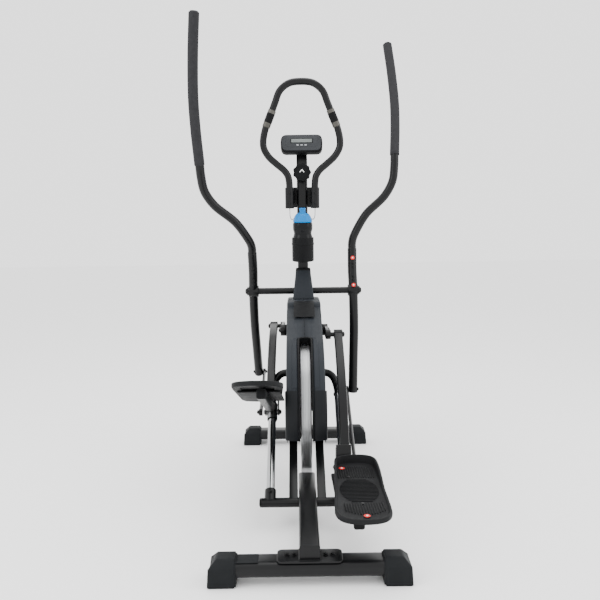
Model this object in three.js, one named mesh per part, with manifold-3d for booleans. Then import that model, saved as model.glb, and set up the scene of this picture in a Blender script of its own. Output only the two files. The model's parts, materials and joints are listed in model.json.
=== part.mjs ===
// Elliptical trainer, central-drive type: two pedal arms driven by a crank,
// each carried on an inclined guide rail, each linked to its swing handle.
//
// Frame: millimetres, +Z up, +X to the user's right, +Y ahead of the user.
// Lengths along the machine are first measured from the rear face of the rear
// stabiliser; the whole group is then shifted so that the origin lies on the
// floor under the middle of the machine.

import * as THREE from 'three';
import { mergeVertices } from 'three/addons/utils/BufferGeometryUtils.js';
import { ConvexGeometry } from 'three/addons/geometries/ConvexGeometry.js';
import Module from 'manifold-3d';

const wasm = await Module();
wasm.setup();

// ---------------------------------------------------------------- dimensions

const MACHINE_LENGTH = 1244.6;
const GAP = 0.3;                      // between pieces that touch

// Stabilisers
const STABILISER = { half: 240, depth: 70, height: 40, lift: 20, corner: 12 };
const END_CAP = { inner: 186, outer: 255, depth: 78, height: 69, crease: 48, bevel: 17, lean: 20 };
const FRONT_STABILISER_Y = 1130;

// Crank and its linkage
const CRANK = { y: 851.5, z: 521, radius: 150, tilt: -1.5 };   // tilt in degrees
const ROD = 460;                      // crank pin to slider axle
const RAIL = { x: 111, y: 340, z: 79, slope: 37.2, radius: 12.7, start: 14, end: 406 };
const PEDAL_ARM = { inner: 101, outer: 129, half: 14, rear: -391, splay: 0.032 };

// Flywheel and drive
const FLYWHEEL = { y: 700, z: 274, radius: 236, half: 17.5 };
const BELT = { x: 23.5, half: 4, thick: 2, clear: 0.8 };
const BIG_PULLEY = 87.5;
const SMALL_PULLEY = 12.5;
const IDLER = { radius: 16, pivotY: 709, pivotZ: 368 };

// Swing arms
const PIVOT = { y: 1005, z: 653, radius: 12.7, half: 212 };
const ARM_TUBE = 15.9;
const GRIP_TUBE = 18;
const ARM_LOW = { x: 188, u: 90, v: -376 };
const LINK_ROD = { length: 565, front: 165, rear: 149, radius: 6 };

// Mast and what it carries
const MAST = { lean: 5, half: 20, corner: 9, bottom: 690, top: 1230 };
const HANDLEBAR_TUBE = 12.7;
const CONSOLE = { half: 79, low: 1165, high: 1237, tall: 73, back: 30, tilt: 22 };
const KNOB = { z: 1099, radius: 34, height: 20, lobes: 9 };
const BOTTLE = { radius: 36.5, low: 776, stand: 66 };

const radians = THREE.MathUtils.degToRad;
const SIDES = [['left', -1], ['right', 1]];

// ----------------------------------------------------------------- materials

const material = (color, roughness, metalness = 0) =>
  new THREE.MeshStandardMaterial({ color, roughness, metalness });

const BLACK_PAINT = material(0x17191b, 0.35, 0.2);
const BLACK_PLASTIC = material(0x141516, 0.55);
const GREY_PLASTIC = material(0x33383e, 0.6);
const CAP_PLASTIC = material(0x1f2225, 0.65);
const CHROME = material(0xc8cacb, 0.15, 1);
const STEEL = material(0xa9abad, 0.35, 1);
const FLYWHEEL_STEEL = material(0xb9bcbd, 0.3, 1);
const FOAM = material(0x1c1d1f, 0.95);
const RUBBER = material(0x111111, 0.9);
const BLUE_PLASTIC = material(0x0a8fd0, 0.4);
const CONSOLE_GREY = material(0x565a60, 0.5);
const SCREEN = material(0x8d938f, 0.25);

// ------------------------------------------------------------- solid helpers

// A closed three.js geometry as a manifold solid.
function solid(geometry) {
  const bare = geometry.clone();
  bare.deleteAttribute('normal');
  bare.deleteAttribute('uv');
  const merged = mergeVertices(bare, 1e-4);
  const vertProperties = new Float32Array(merged.attributes.position.array);
  const triVerts = new Uint32Array(merged.index.array);
  return new wasm.Manifold(new wasm.Mesh({ numProp: 3, vertProperties, triVerts }));
}

// A manifold solid as a three.js geometry.
function shapeOf(body) {
  const mesh = body.getMesh();
  const geometry = new THREE.BufferGeometry();
  geometry.setAttribute('position', new THREE.BufferAttribute(mesh.vertProperties, 3));
  geometry.setIndex(new THREE.BufferAttribute(mesh.triVerts, 1));
  return geometry;
}

const join = (...geometries) =>
  shapeOf(geometries.map(solid).reduce((whole, next) => whole.add(next)));

const cut = (geometry, ...tools) =>
  shapeOf(tools.map(solid).reduce((whole, next) => whole.subtract(next), solid(geometry)));

// The mirror image across X = 0, with its triangles turned to face out again.
function mirrored(geometry) {
  const image = geometry.index ? geometry.clone() : mergeVertices(geometry.clone());
  image.scale(-1, 1, 1);
  const index = image.index.array;
  for (let i = 0; i < index.length; i += 3) {
    [index[i], index[i + 1]] = [index[i + 1], index[i]];
  }
  return image;
}

const onSide = (geometry, side) => (side > 0 ? geometry : mirrored(geometry));

function box(x0, x1, y0, y1, z0, z1) {
  const geometry = new THREE.BoxGeometry(Math.abs(x1 - x0), y1 - y0, z1 - z0);
  return geometry.translate((x0 + x1) / 2, (y0 + y1) / 2, (z0 + z1) / 2);
}

// A round bar along X between x0 and x1.
function barX(radius, x0, x1, y = 0, z = 0, sides = 18) {
  const geometry = new THREE.CylinderGeometry(radius, radius, Math.abs(x1 - x0), sides);
  return geometry.rotateZ(Math.PI / 2).translate((x0 + x1) / 2, y, z);
}

// A round bar between two points.
function barBetween(from, to, radius, sides = 14) {
  const along = to.clone().sub(from);
  const geometry = new THREE.CylinderGeometry(radius, radius, along.length(), sides);
  const turn = new THREE.Quaternion().setFromUnitVectors(
    new THREE.Vector3(0, 1, 0), along.clone().normalize());
  const middle = from.clone().add(to).multiplyScalar(0.5);
  return geometry.applyQuaternion(turn).translate(middle.x, middle.y, middle.z);
}

// A flat outline in the Y-Z plane, made thick from x0 to x1.
function plateX(outline, x0, x1) {
  const shape = outline instanceof THREE.Shape ? outline : outlineShape(outline);
  const geometry = new THREE.ExtrudeGeometry(shape,
    { depth: x1 - x0, bevelEnabled: false, curveSegments: 3 });
  const turn = new THREE.Matrix4().makeBasis(
    new THREE.Vector3(0, 1, 0), new THREE.Vector3(0, 0, 1), new THREE.Vector3(1, 0, 0));
  return geometry.applyMatrix4(turn).translate(x0, 0, 0);
}

const outlineShape = (points) => new THREE.Shape(points.map(([u, v]) => new THREE.Vector2(u, v)));

// A flat outline in the X-Y plane, made thick from z0 to z1.
const plateZ = (shape, z0, z1, segments = 3) =>
  new THREE.ExtrudeGeometry(shape, { depth: z1 - z0, bevelEnabled: false, curveSegments: segments })
    .translate(0, 0, z0);

// A rectangle with round corners, centred on the origin.
function roundRect(width, height, corner) {
  const [x, y] = [width / 2, height / 2];
  const shape = new THREE.Shape();
  shape.moveTo(-x + corner, -y);
  shape.lineTo(x - corner, -y);
  shape.absarc(x - corner, -y + corner, corner, -Math.PI / 2, 0);
  shape.lineTo(x, y - corner);
  shape.absarc(x - corner, y - corner, corner, 0, Math.PI / 2);
  shape.lineTo(-x + corner, y);
  shape.absarc(-x + corner, y - corner, corner, Math.PI / 2, Math.PI);
  shape.lineTo(-x, -y + corner);
  shape.absarc(-x + corner, -y + corner, corner, Math.PI, Math.PI * 1.5);
  return shape;
}

// A many-sided outline close to a circle.
const circle = (radius, sides = 20) => outlineShape(Array.from({ length: sides }, (_, i) => {
  const angle = 2 * Math.PI * (i + 0.5) / sides;
  return [radius * Math.cos(angle), radius * Math.sin(angle)];
}));

// A round tube or rod, solid inside, along a smooth curve through the points.
function rod(points, radius, steps, sides = 10) {
  const path = new THREE.CatmullRomCurve3(points, false, 'centripetal');
  return new THREE.ExtrudeGeometry(circle(radius, sides),
    { steps, bevelEnabled: false, extrudePath: path });
}

// The outline of a strip of even width along a smooth curve in a plane.
function strip(points, half, steps) {
  const curve = new THREE.SplineCurve(points.map(([u, v]) => new THREE.Vector2(u, v)));
  const upper = [];
  const lower = [];
  for (let i = 0; i <= steps; i += 1) {
    const at = curve.getPoint(i / steps);
    const along = curve.getTangent(i / steps);
    upper.push([at.x - along.y * half, at.y + along.x * half]);
    lower.unshift([at.x + along.y * half, at.y - along.x * half]);
  }
  return [...upper, ...lower];
}

// ---------------------------------------------------------------- kinematics

const slope = radians(RAIL.slope);
const railPoint = (along, side) => new THREE.Vector3(side * RAIL.x,
  RAIL.y + along * Math.cos(slope), RAIL.z + along * Math.sin(slope));

// The crank points back on the right and ahead on the left.
function crankPin(side) {
  const angle = radians(CRANK.tilt);
  return [CRANK.y - side * CRANK.radius * Math.cos(angle),
    CRANK.z - side * CRANK.radius * Math.sin(angle)];
}

// How far up its rail a slider stands, from the crank pin and the rod length.
function sliderAlong(side) {
  const [y, z] = crankPin(side);
  const [dy, dz] = [y - RAIL.y, z - RAIL.z];
  const along = dy * Math.cos(slope) + dz * Math.sin(slope);
  const across = dz * Math.cos(slope) - dy * Math.sin(slope);
  return along - Math.sqrt(ROD ** 2 - across ** 2);
}

// The pitch of a pedal: zero when its sole is level.
const LEVEL_ROD_ANGLE = 51.5;
function pedalPitch(side) {
  const [y, z] = crankPin(side);
  const axle = railPoint(sliderAlong(side), side);
  return Math.atan2(z - axle.z, y - axle.y) - radians(LEVEL_ROD_ANGLE);
}

const turned = (u, v, angle) => [u * Math.cos(angle) - v * Math.sin(angle),
  u * Math.sin(angle) + v * Math.cos(angle)];

// The swing of an arm, found by halving: its low pin keeps one link rod's
// length from the slider axle.
function armSwing(side) {
  const axle = railPoint(sliderAlong(side), side);
  let [low, high] = [-0.6, 0.6];
  for (let i = 0; i < 50; i += 1) {
    const middle = (low + high) / 2;
    const [u, v] = turned(ARM_LOW.u, ARM_LOW.v, middle);
    const reach = Math.hypot(PIVOT.y + u - axle.y, PIVOT.z + v - axle.z);
    if (reach > LINK_ROD.length) high = middle;
    else low = middle;
  }
  return low;
}

// -------------------------------------------------------------- scene set-up

const trainer = new THREE.Group();
trainer.position.y = -MACHINE_LENGTH / 2;

function place(name, geometry, finish, y = 0, z = 0, turn = 0) {
  const mesh = new THREE.Mesh(geometry, finish);
  mesh.name = name;
  mesh.position.set(0, y, z);
  mesh.rotation.x = turn;
  trainer.add(mesh);
  return mesh;
}

// --------------------------------------------------------------- stabilisers

function stabiliserTube(from, to, grow = 0) {
  const shape = roundRect(STABILISER.depth + 2 * grow, STABILISER.height + 2 * grow,
    STABILISER.corner + grow);
  return plateX(shape, from, to)
    .translate(0, END_CAP.depth / 2, STABILISER.lift + STABILISER.height / 2);
}

// A moulded foot that sleeves over the tube's end; its outer side leans in.
function endCap() {
  const { inner, outer, depth, height, crease, bevel } = END_CAP;
  const profile = [[0, 0], [0, crease], [bevel, height], [depth - bevel, height],
    [depth, crease], [depth, 0]];
  const lean = (z) => outer - (z > crease ? END_CAP.lean : 3 * z / crease);
  const points = profile.flatMap(([y, z]) =>
    [new THREE.Vector3(inner, y, z), new THREE.Vector3(lean(z), y, z)]);
  const pocket = stabiliserTube(inner - 5, STABILISER.half + GAP, GAP);
  return cut(new ConvexGeometry(points), pocket);
}

// The forks and bolts of the transport wheels, ahead of the front stabiliser.
const WHEEL = { radius: 20, z: 26 };
const wheelY = MACHINE_LENGTH - WHEEL.radius;
const wheelForks = () => [-1, 1].flatMap((side) => {
  const front = wheelY - FRONT_STABILISER_Y;
  const cheek = (x) => box(x, x + 3, STABILISER.depth, front + 8, 21, 40);
  const pieces = [cheek(152), cheek(177), barX(5, 152, 180, front, WHEEL.z, 12)];
  return pieces.map((piece) => onSide(piece, side));
});

for (const [end, offset] of [['rear', 0], ['front', FRONT_STABILISER_Y]]) {
  const tube = stabiliserTube(-STABILISER.half, STABILISER.half);
  place(`${end}_stabiliser`, offset ? join(tube, ...wheelForks()) : tube, BLACK_PAINT, offset);
  for (const [name, side] of SIDES) {
    place(`${end}_${name}_end_cap`, onSide(endCap(), side), CAP_PLASTIC, offset);
  }
}

// ---------------------------------------------------------------- main frame

const TUBE_TOP = STABILISER.lift + STABILISER.height + GAP;
const PLATE = { half: 82, thick: 5, y0: 5, y1: 73 };
const FORK = { inner: 29, outer: 55, half: 15 };
const SPINE_END = 528;                // the rear spine stops just behind the flywheel
const RAIL_SOCKET = { radius: 17, length: 42 };
const POST_FOOT = { y: 1168, z: 67 };
const POST_KNEE = { y: 1046, z: 430 };
const forkRise = (FLYWHEEL.z - RAIL.z) / (FLYWHEEL.y - RAIL.y);
const forkHeight = (y) => RAIL.z + forkRise * (y - RAIL.y);

// The fork that flanks the flywheel, from the rear cross tube to the post.
function forkTube() {
  const ends = [[RAIL.y, RAIL.z], [POST_KNEE.y - 4, forkHeight(POST_KNEE.y - 4)]];
  return plateX(strip([ends[0], ends[1]], FORK.half, 1), FORK.inner, FORK.outer);
}

// A curved tube from the top of a guide rail in to the frame beside the flywheel.
function railBracket() {
  const start = railPoint(RAIL.end + GAP, 1);
  const next = railPoint(RAIL.end + 8, 1);
  const points = [start, next, new THREE.Vector3(108, 683, 348),
    new THREE.Vector3(99, 694, 373), new THREE.Vector3(84, 701, 388),
    new THREE.Vector3(66, 703, 393), new THREE.Vector3(50, 703, 394)];
  return rod(points, RAIL.radius, 10, 12);
}

// The socket at the foot of a guide rail, welded to the cross tube.
const railSocket = () => barBetween(railPoint(0, 1), railPoint(RAIL_SOCKET.length, 1),
  RAIL_SOCKET.radius);
const railBore = () => barBetween(railPoint(RAIL.start, 1), railPoint(RAIL_SOCKET.length + 8, 1),
  RAIL.radius + GAP, 18);

// The upright inside the casing that holds the rail bracket and the crank bearing.
const uprights = () => [
  box(34, 50, 688, 718, forkHeight(703) + 5, 404),
  box(33, 51, CRANK.y - 18, CRANK.y + 18, forkHeight(CRANK.y), CRANK.z),
  barX(24, 32, 54, CRANK.y, CRANK.z),
];

function mainFrame() {
  const postLow = strip([[POST_FOOT.y, POST_FOOT.z], [POST_KNEE.y, POST_KNEE.z]], 20, 1);
  const postHigh = strip([[POST_KNEE.y, POST_KNEE.z - 20], [PIVOT.y + 3, PIVOT.z + 20]], 20, 1);
  const plate = plateZ(roundRect(2 * PLATE.half, PLATE.y1 - PLATE.y0, 14), 0, PLATE.thick);
  const body = join(
    plate.clone().translate(0, (PLATE.y0 + PLATE.y1) / 2, TUBE_TOP),
    plate.clone().translate(0, FRONT_STABILISER_Y + (PLATE.y0 + PLATE.y1) / 2, TUBE_TOP),
    box(-26, 26, 14, SPINE_END, TUBE_TOP + 1, TUBE_TOP + 42),
    barX(14, -138, 138, RAIL.y, RAIL.z, 20),
    forkTube(), mirrored(forkTube()),
    railBracket(), mirrored(railBracket()),
    railSocket(), mirrored(railSocket()),
    ...uprights(), ...uprights().map(mirrored),
    plateX(postLow, -28, 28), plateX(postHigh, -20, 20),
    box(-55, 55, POST_KNEE.y - 34, POST_KNEE.y - 4, 400, 440),
    barX(19, -30, 30, PIVOT.y, PIVOT.z),
  );
  return cut(body, railBore(), mirrored(railBore()),
    barX(PIVOT.radius + GAP, -60, 60, PIVOT.y, PIVOT.z),
    barX(10 + GAP, -60, 60, CRANK.y, CRANK.z, 20),
    barX(6 + GAP, -60, 60, FLYWHEEL.y, FLYWHEEL.z, 16));
}
place('main_frame', mainFrame(), BLACK_PAINT);

for (const [name, side] of SIDES) {
  const rail = barBetween(railPoint(RAIL.start + GAP, side), railPoint(RAIL.end, side),
    RAIL.radius, 18);
  place(`${name}_guide_rail`, rail, CHROME);
}

// -------------------------------------------------------------------- casing

const SHELL = { half: 61.5, wall: 2.8, radius: 262 };
const shellArc = (radius, fromDegrees, toDegrees, steps) =>
  Array.from({ length: steps + 1 }, (_, i) => {
    const angle = radians(fromDegrees + (toDegrees - fromDegrees) * i / steps);
    return [FLYWHEEL.y + radius * Math.cos(angle), FLYWHEEL.z + radius * Math.sin(angle)];
  });

// The side outline: round behind the flywheel, sloping up over the crank.
function shellOutline(inset = 0, drop = 0) {
  return [
    ...shellArc(SHELL.radius - inset, 105, 189, 14),
    [760, 150 - drop], [1000, 165 - drop], [1138 - inset, 240 - drop],
    [1138 - inset, 400], [1080 - inset, 590], [1050 - inset, 626 - inset],
    [880, 626 - inset], [842, 622 - inset],
  ];
}

const SLOT = { half: 19, frame: 24.5, from: 107, to: 189 };

function casingShell() {
  const outer = plateX(shellOutline(), GAP / 2, SHELL.half);
  const inner = plateX(shellOutline(SHELL.wall, 160), -5, SHELL.half - SHELL.wall);
  const below = box(-5, SHELL.half - SHELL.wall, 444, 1134, 20, 236);
  const slotRing = plateX([...shellArc(SHELL.radius + 9, SLOT.from, SLOT.to + 6, 14),
    ...shellArc(SHELL.radius - 30, SLOT.to + 6, SLOT.from, 14)], -5, SLOT.frame + GAP);
  const axleCover = barX(21, SHELL.half - 1, SHELL.half + 7, FLYWHEEL.y, FLYWHEEL.z);
  return cut(join(outer, axleCover), inner, below, slotRing,
    barX(23, 50, 70, CRANK.y, CRANK.z),
    barX(RAIL.radius + 4, 50, 70, 703, 393, 16),
    box(-5, 22, 960, 1042, 600, 640));
}
for (const [name, side] of SIDES) {
  place(`${name}_casing_shell`, onSide(casingShell(), side), GREY_PLASTIC);
}

// The thick rim around the slot that shows the flywheel.
function slotSurround() {
  const ring = (low, high, from, to, half) =>
    plateX([...shellArc(high, from, to, 16), ...shellArc(low, to, from, 16)], -half, half);
  return cut(ring(250, 267, SLOT.from + 0.2, SLOT.to - 0.4, SLOT.frame),
    ring(240, 280, SLOT.from + 4, SLOT.to + 8, SLOT.half));
}
place('slot_surround', slotSurround(), BLACK_PLASTIC);

// The tapered hood between the shells and the mast.
const NECK = { low: 626.4, high: 737 };
function frustum(bottom, top, z0, z1, lean) {
  const ring = (half, y0, y1, z) => [-half, half].flatMap((x) =>
    [new THREE.Vector3(x, y0, z), new THREE.Vector3(x, y1, z)]);
  return new ConvexGeometry([...ring(bottom, 930 + lean, 1046 - lean, z0),
    ...ring(top, 962 + lean, 1032 - lean, z1)]);
}
const mastAngle = radians(MAST.lean);
const mastY = (z) => PIVOT.y - (z - PIVOT.z) * Math.tan(mastAngle);
const alongMast = (geometry, z) => geometry.rotateX(mastAngle).translate(0, mastY(z), z);

place('casing_neck', cut(
  frustum(40, 27, NECK.low, NECK.high, 0),
  frustum(37, 24, NECK.low - 1, NECK.high - 4, 3),
  alongMast(plateZ(roundRect(2 * MAST.half + 1, 2 * MAST.half + 1, MAST.corner), -40, 40), 735),
  barX(PIVOT.radius + 1, -60, 60, PIVOT.y, PIVOT.z, 16)), GREY_PLASTIC);

// --------------------------------------------------------- crank and flywheel

place('crank_axle', barX(10, -84, 84, 0, 0, 20), STEEL, CRANK.y, CRANK.z);

function crankArm() {
  const bar = strip([[0, 0], [-CRANK.radius, 0]], 15, 1);
  return cut(join(plateX(bar, 72, 84), barX(21, 63, 84, 0, 0), barX(16, 72, 90, -CRANK.radius),
    barX(8, 80, 100.5, -CRANK.radius, 0, 16)), barX(10 + GAP, 60, 90, 0, 0, 20));
}
for (const [name, side] of SIDES) {
  const turn = radians(CRANK.tilt) + (side < 0 ? Math.PI : 0);
  place(`${name}_crank_arm`, onSide(crankArm(), side), BLACK_PAINT, CRANK.y, CRANK.z, turn);
}

// A pulley: a rim with a web and a hub, bored for its axle.
function pulley(radius, bore) {
  const half = BELT.half;
  const profile = [[bore, -half - 1], [bore + 9, -half - 1], [bore + 9, -1.5], [radius - 8, -1.5],
    [radius - 8, -half], [radius, -half], [radius, half], [radius - 8, half], [radius - 8, 1.5],
    [bore + 9, 1.5], [bore + 9, half], [bore, half], [bore, -half - 1]];
  return new THREE.LatheGeometry(profile.map(([r, x]) => new THREE.Vector2(r, x)), 20)
    .rotateZ(-Math.PI / 2).translate(BELT.x, 0, 0);
}
place('drive_pulley', pulley(BIG_PULLEY, 10 + GAP), BLACK_PLASTIC, CRANK.y, CRANK.z);

function flywheel() {
  const { radius, half } = FLYWHEEL;
  const [bore, hub, rim] = [6 + GAP, 26, radius - 24];
  const profile = [[bore, -half], [hub, -half], [hub, -5], [rim, -5], [rim, -half],
    [radius - 2, -half], [radius, -half + 2], [radius, half - 2], [radius - 2, half], [rim, half],
    [rim, 5], [hub, 5], [hub, half], [SMALL_PULLEY, half], [SMALL_PULLEY, 28], [bore, 28],
    [bore, -half]];
  return new THREE.LatheGeometry(profile.map(([r, x]) => new THREE.Vector2(r, x)), 30)
    .rotateZ(-Math.PI / 2);
}
place('flywheel', flywheel(), FLYWHEEL_STEEL, FLYWHEEL.y, FLYWHEEL.z);

function flywheelAxle() {
  return join(barX(6, -58, 58, 0, 0, 16), barX(10, -58.2, -55.4, 0, 0, 6),
    barX(10, 55.4, 58.2, 0, 0, 6));
}
place('flywheel_axle', flywheelAxle(), STEEL, FLYWHEEL.y, FLYWHEEL.z);

// The belt: the loop around both pulleys, bent in a little by the idler.
function driveBelt() {
  const [big, small] = [BIG_PULLEY + BELT.clear, SMALL_PULLEY + BELT.clear];
  const [dy, dz] = [FLYWHEEL.y - CRANK.y, FLYWHEEL.z - CRANK.z];
  const apart = Math.hypot(dy, dz);
  const towards = Math.atan2(dz, dy);
  const wrap = Math.acos((big - small) / apart);
  const loop = (grow) => {
    const points = [];
    for (let i = 0; i <= 18; i += 1) {
      const angle = towards + wrap + (2 * Math.PI - 2 * wrap) * i / 18;
      points.push([(big + grow) * Math.cos(angle), (big + grow) * Math.sin(angle)]);
    }
    for (let i = 0; i <= 5; i += 1) {
      const angle = towards - wrap + 2 * wrap * i / 5;
      points.push([dy + (small + grow) * Math.cos(angle), dz + (small + grow) * Math.sin(angle)]);
    }
    return points;
  };
  return cut(plateX(loop(BELT.thick), BELT.x - BELT.half + 0.5, BELT.x + BELT.half - 0.5),
    plateX(loop(0), BELT.x - BELT.half - 1, BELT.x + BELT.half + 1));
}
place('drive_belt', driveBelt(), RUBBER, CRANK.y, CRANK.z);

// The idler rides on the outside of the belt's rear run, on a short swing lever.
function idlerSeat() {
  const [dy, dz] = [FLYWHEEL.y - CRANK.y, FLYWHEEL.z - CRANK.z];
  const apart = Math.hypot(dy, dz);
  const lift = Math.asin((BIG_PULLEY - SMALL_PULLEY) / apart);
  const towards = Math.atan2(dz, dy) + lift;
  const off = BIG_PULLEY * 0.5 + SMALL_PULLEY * 0.5;
  const middle = [CRANK.y + dy * 0.5, CRANK.z + dz * 0.5];
  const out = [Math.sin(towards), -Math.cos(towards)];
  const reach = off + BELT.clear + BELT.thick + IDLER.radius + 2 * GAP;
  return [middle[0] + out[0] * reach, middle[1] + out[1] * reach];
}
const [idlerY, idlerZ] = idlerSeat();
place('idler_pulley', cut(barX(IDLER.radius, BELT.x - 4, BELT.x + 4, 0, 0, 24),
  barX(4 + 2 * GAP, 0, 40, 0, 0, 12)), BLACK_PLASTIC, idlerY, idlerZ);

function idlerArm() {
  const [du, dv] = [idlerY - IDLER.pivotY, idlerZ - IDLER.pivotZ];
  return join(plateX(strip([[0, 0], [du, dv]], 7, 1), 28.2, 31.2), barX(9, 28.2, 33.7, 0, 0, 16),
    barX(8, 28.2, 31.2, du, dv, 16), barX(4, 19.5, 31, du, dv, 12));
}
place('idler_arm', idlerArm(), STEEL, IDLER.pivotY, IDLER.pivotZ);

// The brake: a curved arm with magnets that stands over the front of the rim.
const BRAKE_PIVOT = { degrees: -8, radius: FLYWHEEL.radius + 14 };
const brakeY = FLYWHEEL.y + BRAKE_PIVOT.radius * Math.cos(radians(BRAKE_PIVOT.degrees));
const brakeZ = FLYWHEEL.z + BRAKE_PIVOT.radius * Math.sin(radians(BRAKE_PIVOT.degrees));
function brakeBracket() {
  const arc = (radius, from, to) => shellArc(radius, from, to, 8);
  const low = FLYWHEEL.radius + 6;
  const body = plateX([...arc(low, -11, 38), ...arc(low + 12, 38, -11)], -14, 14);
  return body.translate(0, -brakeY, -brakeZ);
}
place('brake_bracket', brakeBracket(), STEEL, brakeY, brakeZ);

// ------------------------------------------------- sliders, pedals, link rods

function slider() {
  const half = 34;
  const sleeve = cut(
    barBetween(new THREE.Vector3(RAIL.x, 0, -half), new THREE.Vector3(RAIL.x, 0, half), 17, 18),
    barBetween(new THREE.Vector3(RAIL.x, 0, -60), new THREE.Vector3(RAIL.x, 0, 60),
      RAIL.radius + GAP, 18));
  const ends = join(barX(7, 88, 97, 0, 0, 16), barX(10, 92.8, 97, 0, 0, 16));
  const outer = join(barX(7, 125.5, 140, 0, 0, 16), barX(10, 125.5, 129.2, 0, 0, 16));
  return join(sleeve, ends, outer);
}

const BOW = [[PEDAL_ARM.rear, 10.5], [-210, 10.5], [-92, 10.5], [-62, 10.5], [-46, 13],
  [-33, 28], [-23, 54], [-2, 100], [38, 158], [92, 222], [148, 274], [210, 317], [286.4, 360]];

// Behind the slider the lever and its pedal splay outwards a little.
const SPLAY_START = -60;
function splayed(geometry) {
  const place = geometry.attributes.position;
  for (let i = 0; i < place.count; i += 1) {
    const behind = Math.max(0, SPLAY_START - place.getY(i));
    place.setX(i, place.getX(i) + behind * PEDAL_ARM.splay);
  }
  return geometry;
}

function pedalArm() {
  const { inner, outer, half } = PEDAL_ARM;
  const tube = plateX(strip(BOW, half, 26), inner, outer);
  const saddle = box(66, 190, -330, -110, 23, 27.4);
  const web = plateX(strip([[-36, 40], [-20, 80]], 9, 1), 88.2, 134);
  const cheek = () => outlineShape([[-44, 30], [-24, 50], [6, 62], [13, 8], [12, -10],
    [-12, -10], [-16, 4]]);
  const eye = barX(7 + GAP, 80, 140, 0, 0, 16);
  const boss = barX(17, 100.8, 129.2, 286.4, 360, 20);
  const keep = join(tube, saddle, web, plateX(cheek(), 88.2, 92.4), plateX(cheek(), 129.8, 134),
    boss);
  return splayed(cut(keep, eye));
}

// A pedal: a shallow tray with a floor, a rim, and a rim that rises at the toe.
const PEDAL = { length: 379, rear: -431, base: 28.2, floor: 8, rim: 14, toe: 34 };
function pedalOutline(inset) {
  const shape = new THREE.Shape();
  const [r, t] = [PEDAL.rear + inset, PEDAL.rear + PEDAL.length - inset];
  shape.moveTo(55 + inset, r + 60);
  shape.bezierCurveTo(57 + inset, r + 14, 84, r, 126, r);
  shape.bezierCurveTo(170, r, 198 - inset, r + 14, 201 - inset, r + 60);
  shape.lineTo(203 - inset, t - 60);
  shape.bezierCurveTo(203 - inset, t - 16, 186, t, 140, t);
  shape.bezierCurveTo(96, t, 76 + inset, t - 16, 76 + inset, t - 60);
  shape.closePath();
  return shape;
}
function pedal() {
  const { length, rear, base, floor, rim, toe } = PEDAL;
  const tray = cut(plateZ(pedalOutline(0), base, base + toe, 6),
    plateZ(pedalOutline(7), base + floor, base + toe + 5, 6));
  const slopeCut = plateX([[rear - 5, base + rim], [rear + length * 0.45, base + rim],
    [rear + length * 0.72, base + toe - 3], [rear + length + 5, base + toe],
    [rear + length + 5, base + 80], [rear - 5, base + 80]], 40, 220);
  return splayed(cut(tray, slopeCut));
}

function linkRod(side) {
  const axle = railPoint(sliderAlong(side), side);
  const [u, v] = turned(ARM_LOW.u, ARM_LOW.v, armSwing(side));
  const front = new THREE.Vector3(LINK_ROD.front, 0, 0);
  const rear = new THREE.Vector3(LINK_ROD.rear,
    axle.y - (PIVOT.y + u), axle.z - (PIVOT.z + v));
  const shaft = barBetween(front, rear, LINK_ROD.radius, 12);
  const body = join(shaft, barX(13, 160, 170, 0, 0, 20),
    barX(12, 143.5, 155, rear.y, rear.z, 20));
  return cut(body, barX(5 + GAP, 150, 180, 0, 0, 12));
}

for (const [name, side] of SIDES) {
  const axle = railPoint(sliderAlong(side), side);
  const slideTurn = slope - Math.PI / 2;
  place(`${name}_slider`, onSide(slider(), side), STEEL, axle.y, axle.z, slideTurn);
  const pitch = pedalPitch(side);
  place(`${name}_pedal_arm`, onSide(pedalArm(), side), BLACK_PAINT, axle.y, axle.z, pitch);
  place(`${name}_pedal`, onSide(pedal(), side), GREY_PLASTIC, axle.y, axle.z, pitch);
  const [u, v] = turned(ARM_LOW.u, ARM_LOW.v, armSwing(side));
  place(`${name}_link_rod`, onSide(linkRod(side), side), BLACK_PAINT, PIVOT.y + u, PIVOT.z + v);
}

// ---------------------------------------------------------------- swing arms

place('pivot_shaft', barX(PIVOT.radius, -PIVOT.half, PIVOT.half), STEEL, PIVOT.y, PIVOT.z);

const V = (x, u, v) => new THREE.Vector3(x, u, v);
const SOCKET_TOP = V(191, -27, 160);

function lowerArm() {
  const tube = rod([V(188, 94, -388), V(191, 60, -262), V(194, 29, -140), V(193, 0, 0),
    V(190.5, -13, 80), V(190.9, -24, 143), SOCKET_TOP], ARM_TUBE + 1.6, 9, 12);
  return cut(join(tube, barX(22, 172, 211, 0, 0, 20), barX(5, 158, 180, ARM_LOW.u, ARM_LOW.v, 12)),
    barX(PIVOT.radius + GAP, 160, 230, 0, 0, 20));
}

function upperHandle() {
  return rod([V(191, -27.1, 160.5), V(191.1, -30, 177), V(195, -38, 197), V(208, -48.5, 225),
    V(246, -67, 284), V(317, -87, 350), V(347, -104, 403), V(354, -121, 458), V(354.8, -129.4, 488),
    V(355.3, -131, 500)], ARM_TUBE, 20, 10);
}

const foamGrip = () => rod([V(355.3, -131.1, 500.5), V(355.9, -132.5, 513), V(363, -122, 610),
  V(367, -109, 720),
  V(362, -95, 860), V(352, -82, 994)], GRIP_TUBE, 9, 12);

const shaftCap = () => new THREE.LatheGeometry([[0, 0], [16, 0], [16, 5], [11, 6], [11, 9],
  [7, 12], [0, 13]].map(([r, x]) => new THREE.Vector2(r, x)), 16)
  .rotateZ(-Math.PI / 2).translate(PIVOT.half + GAP, 0, 0);

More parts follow.
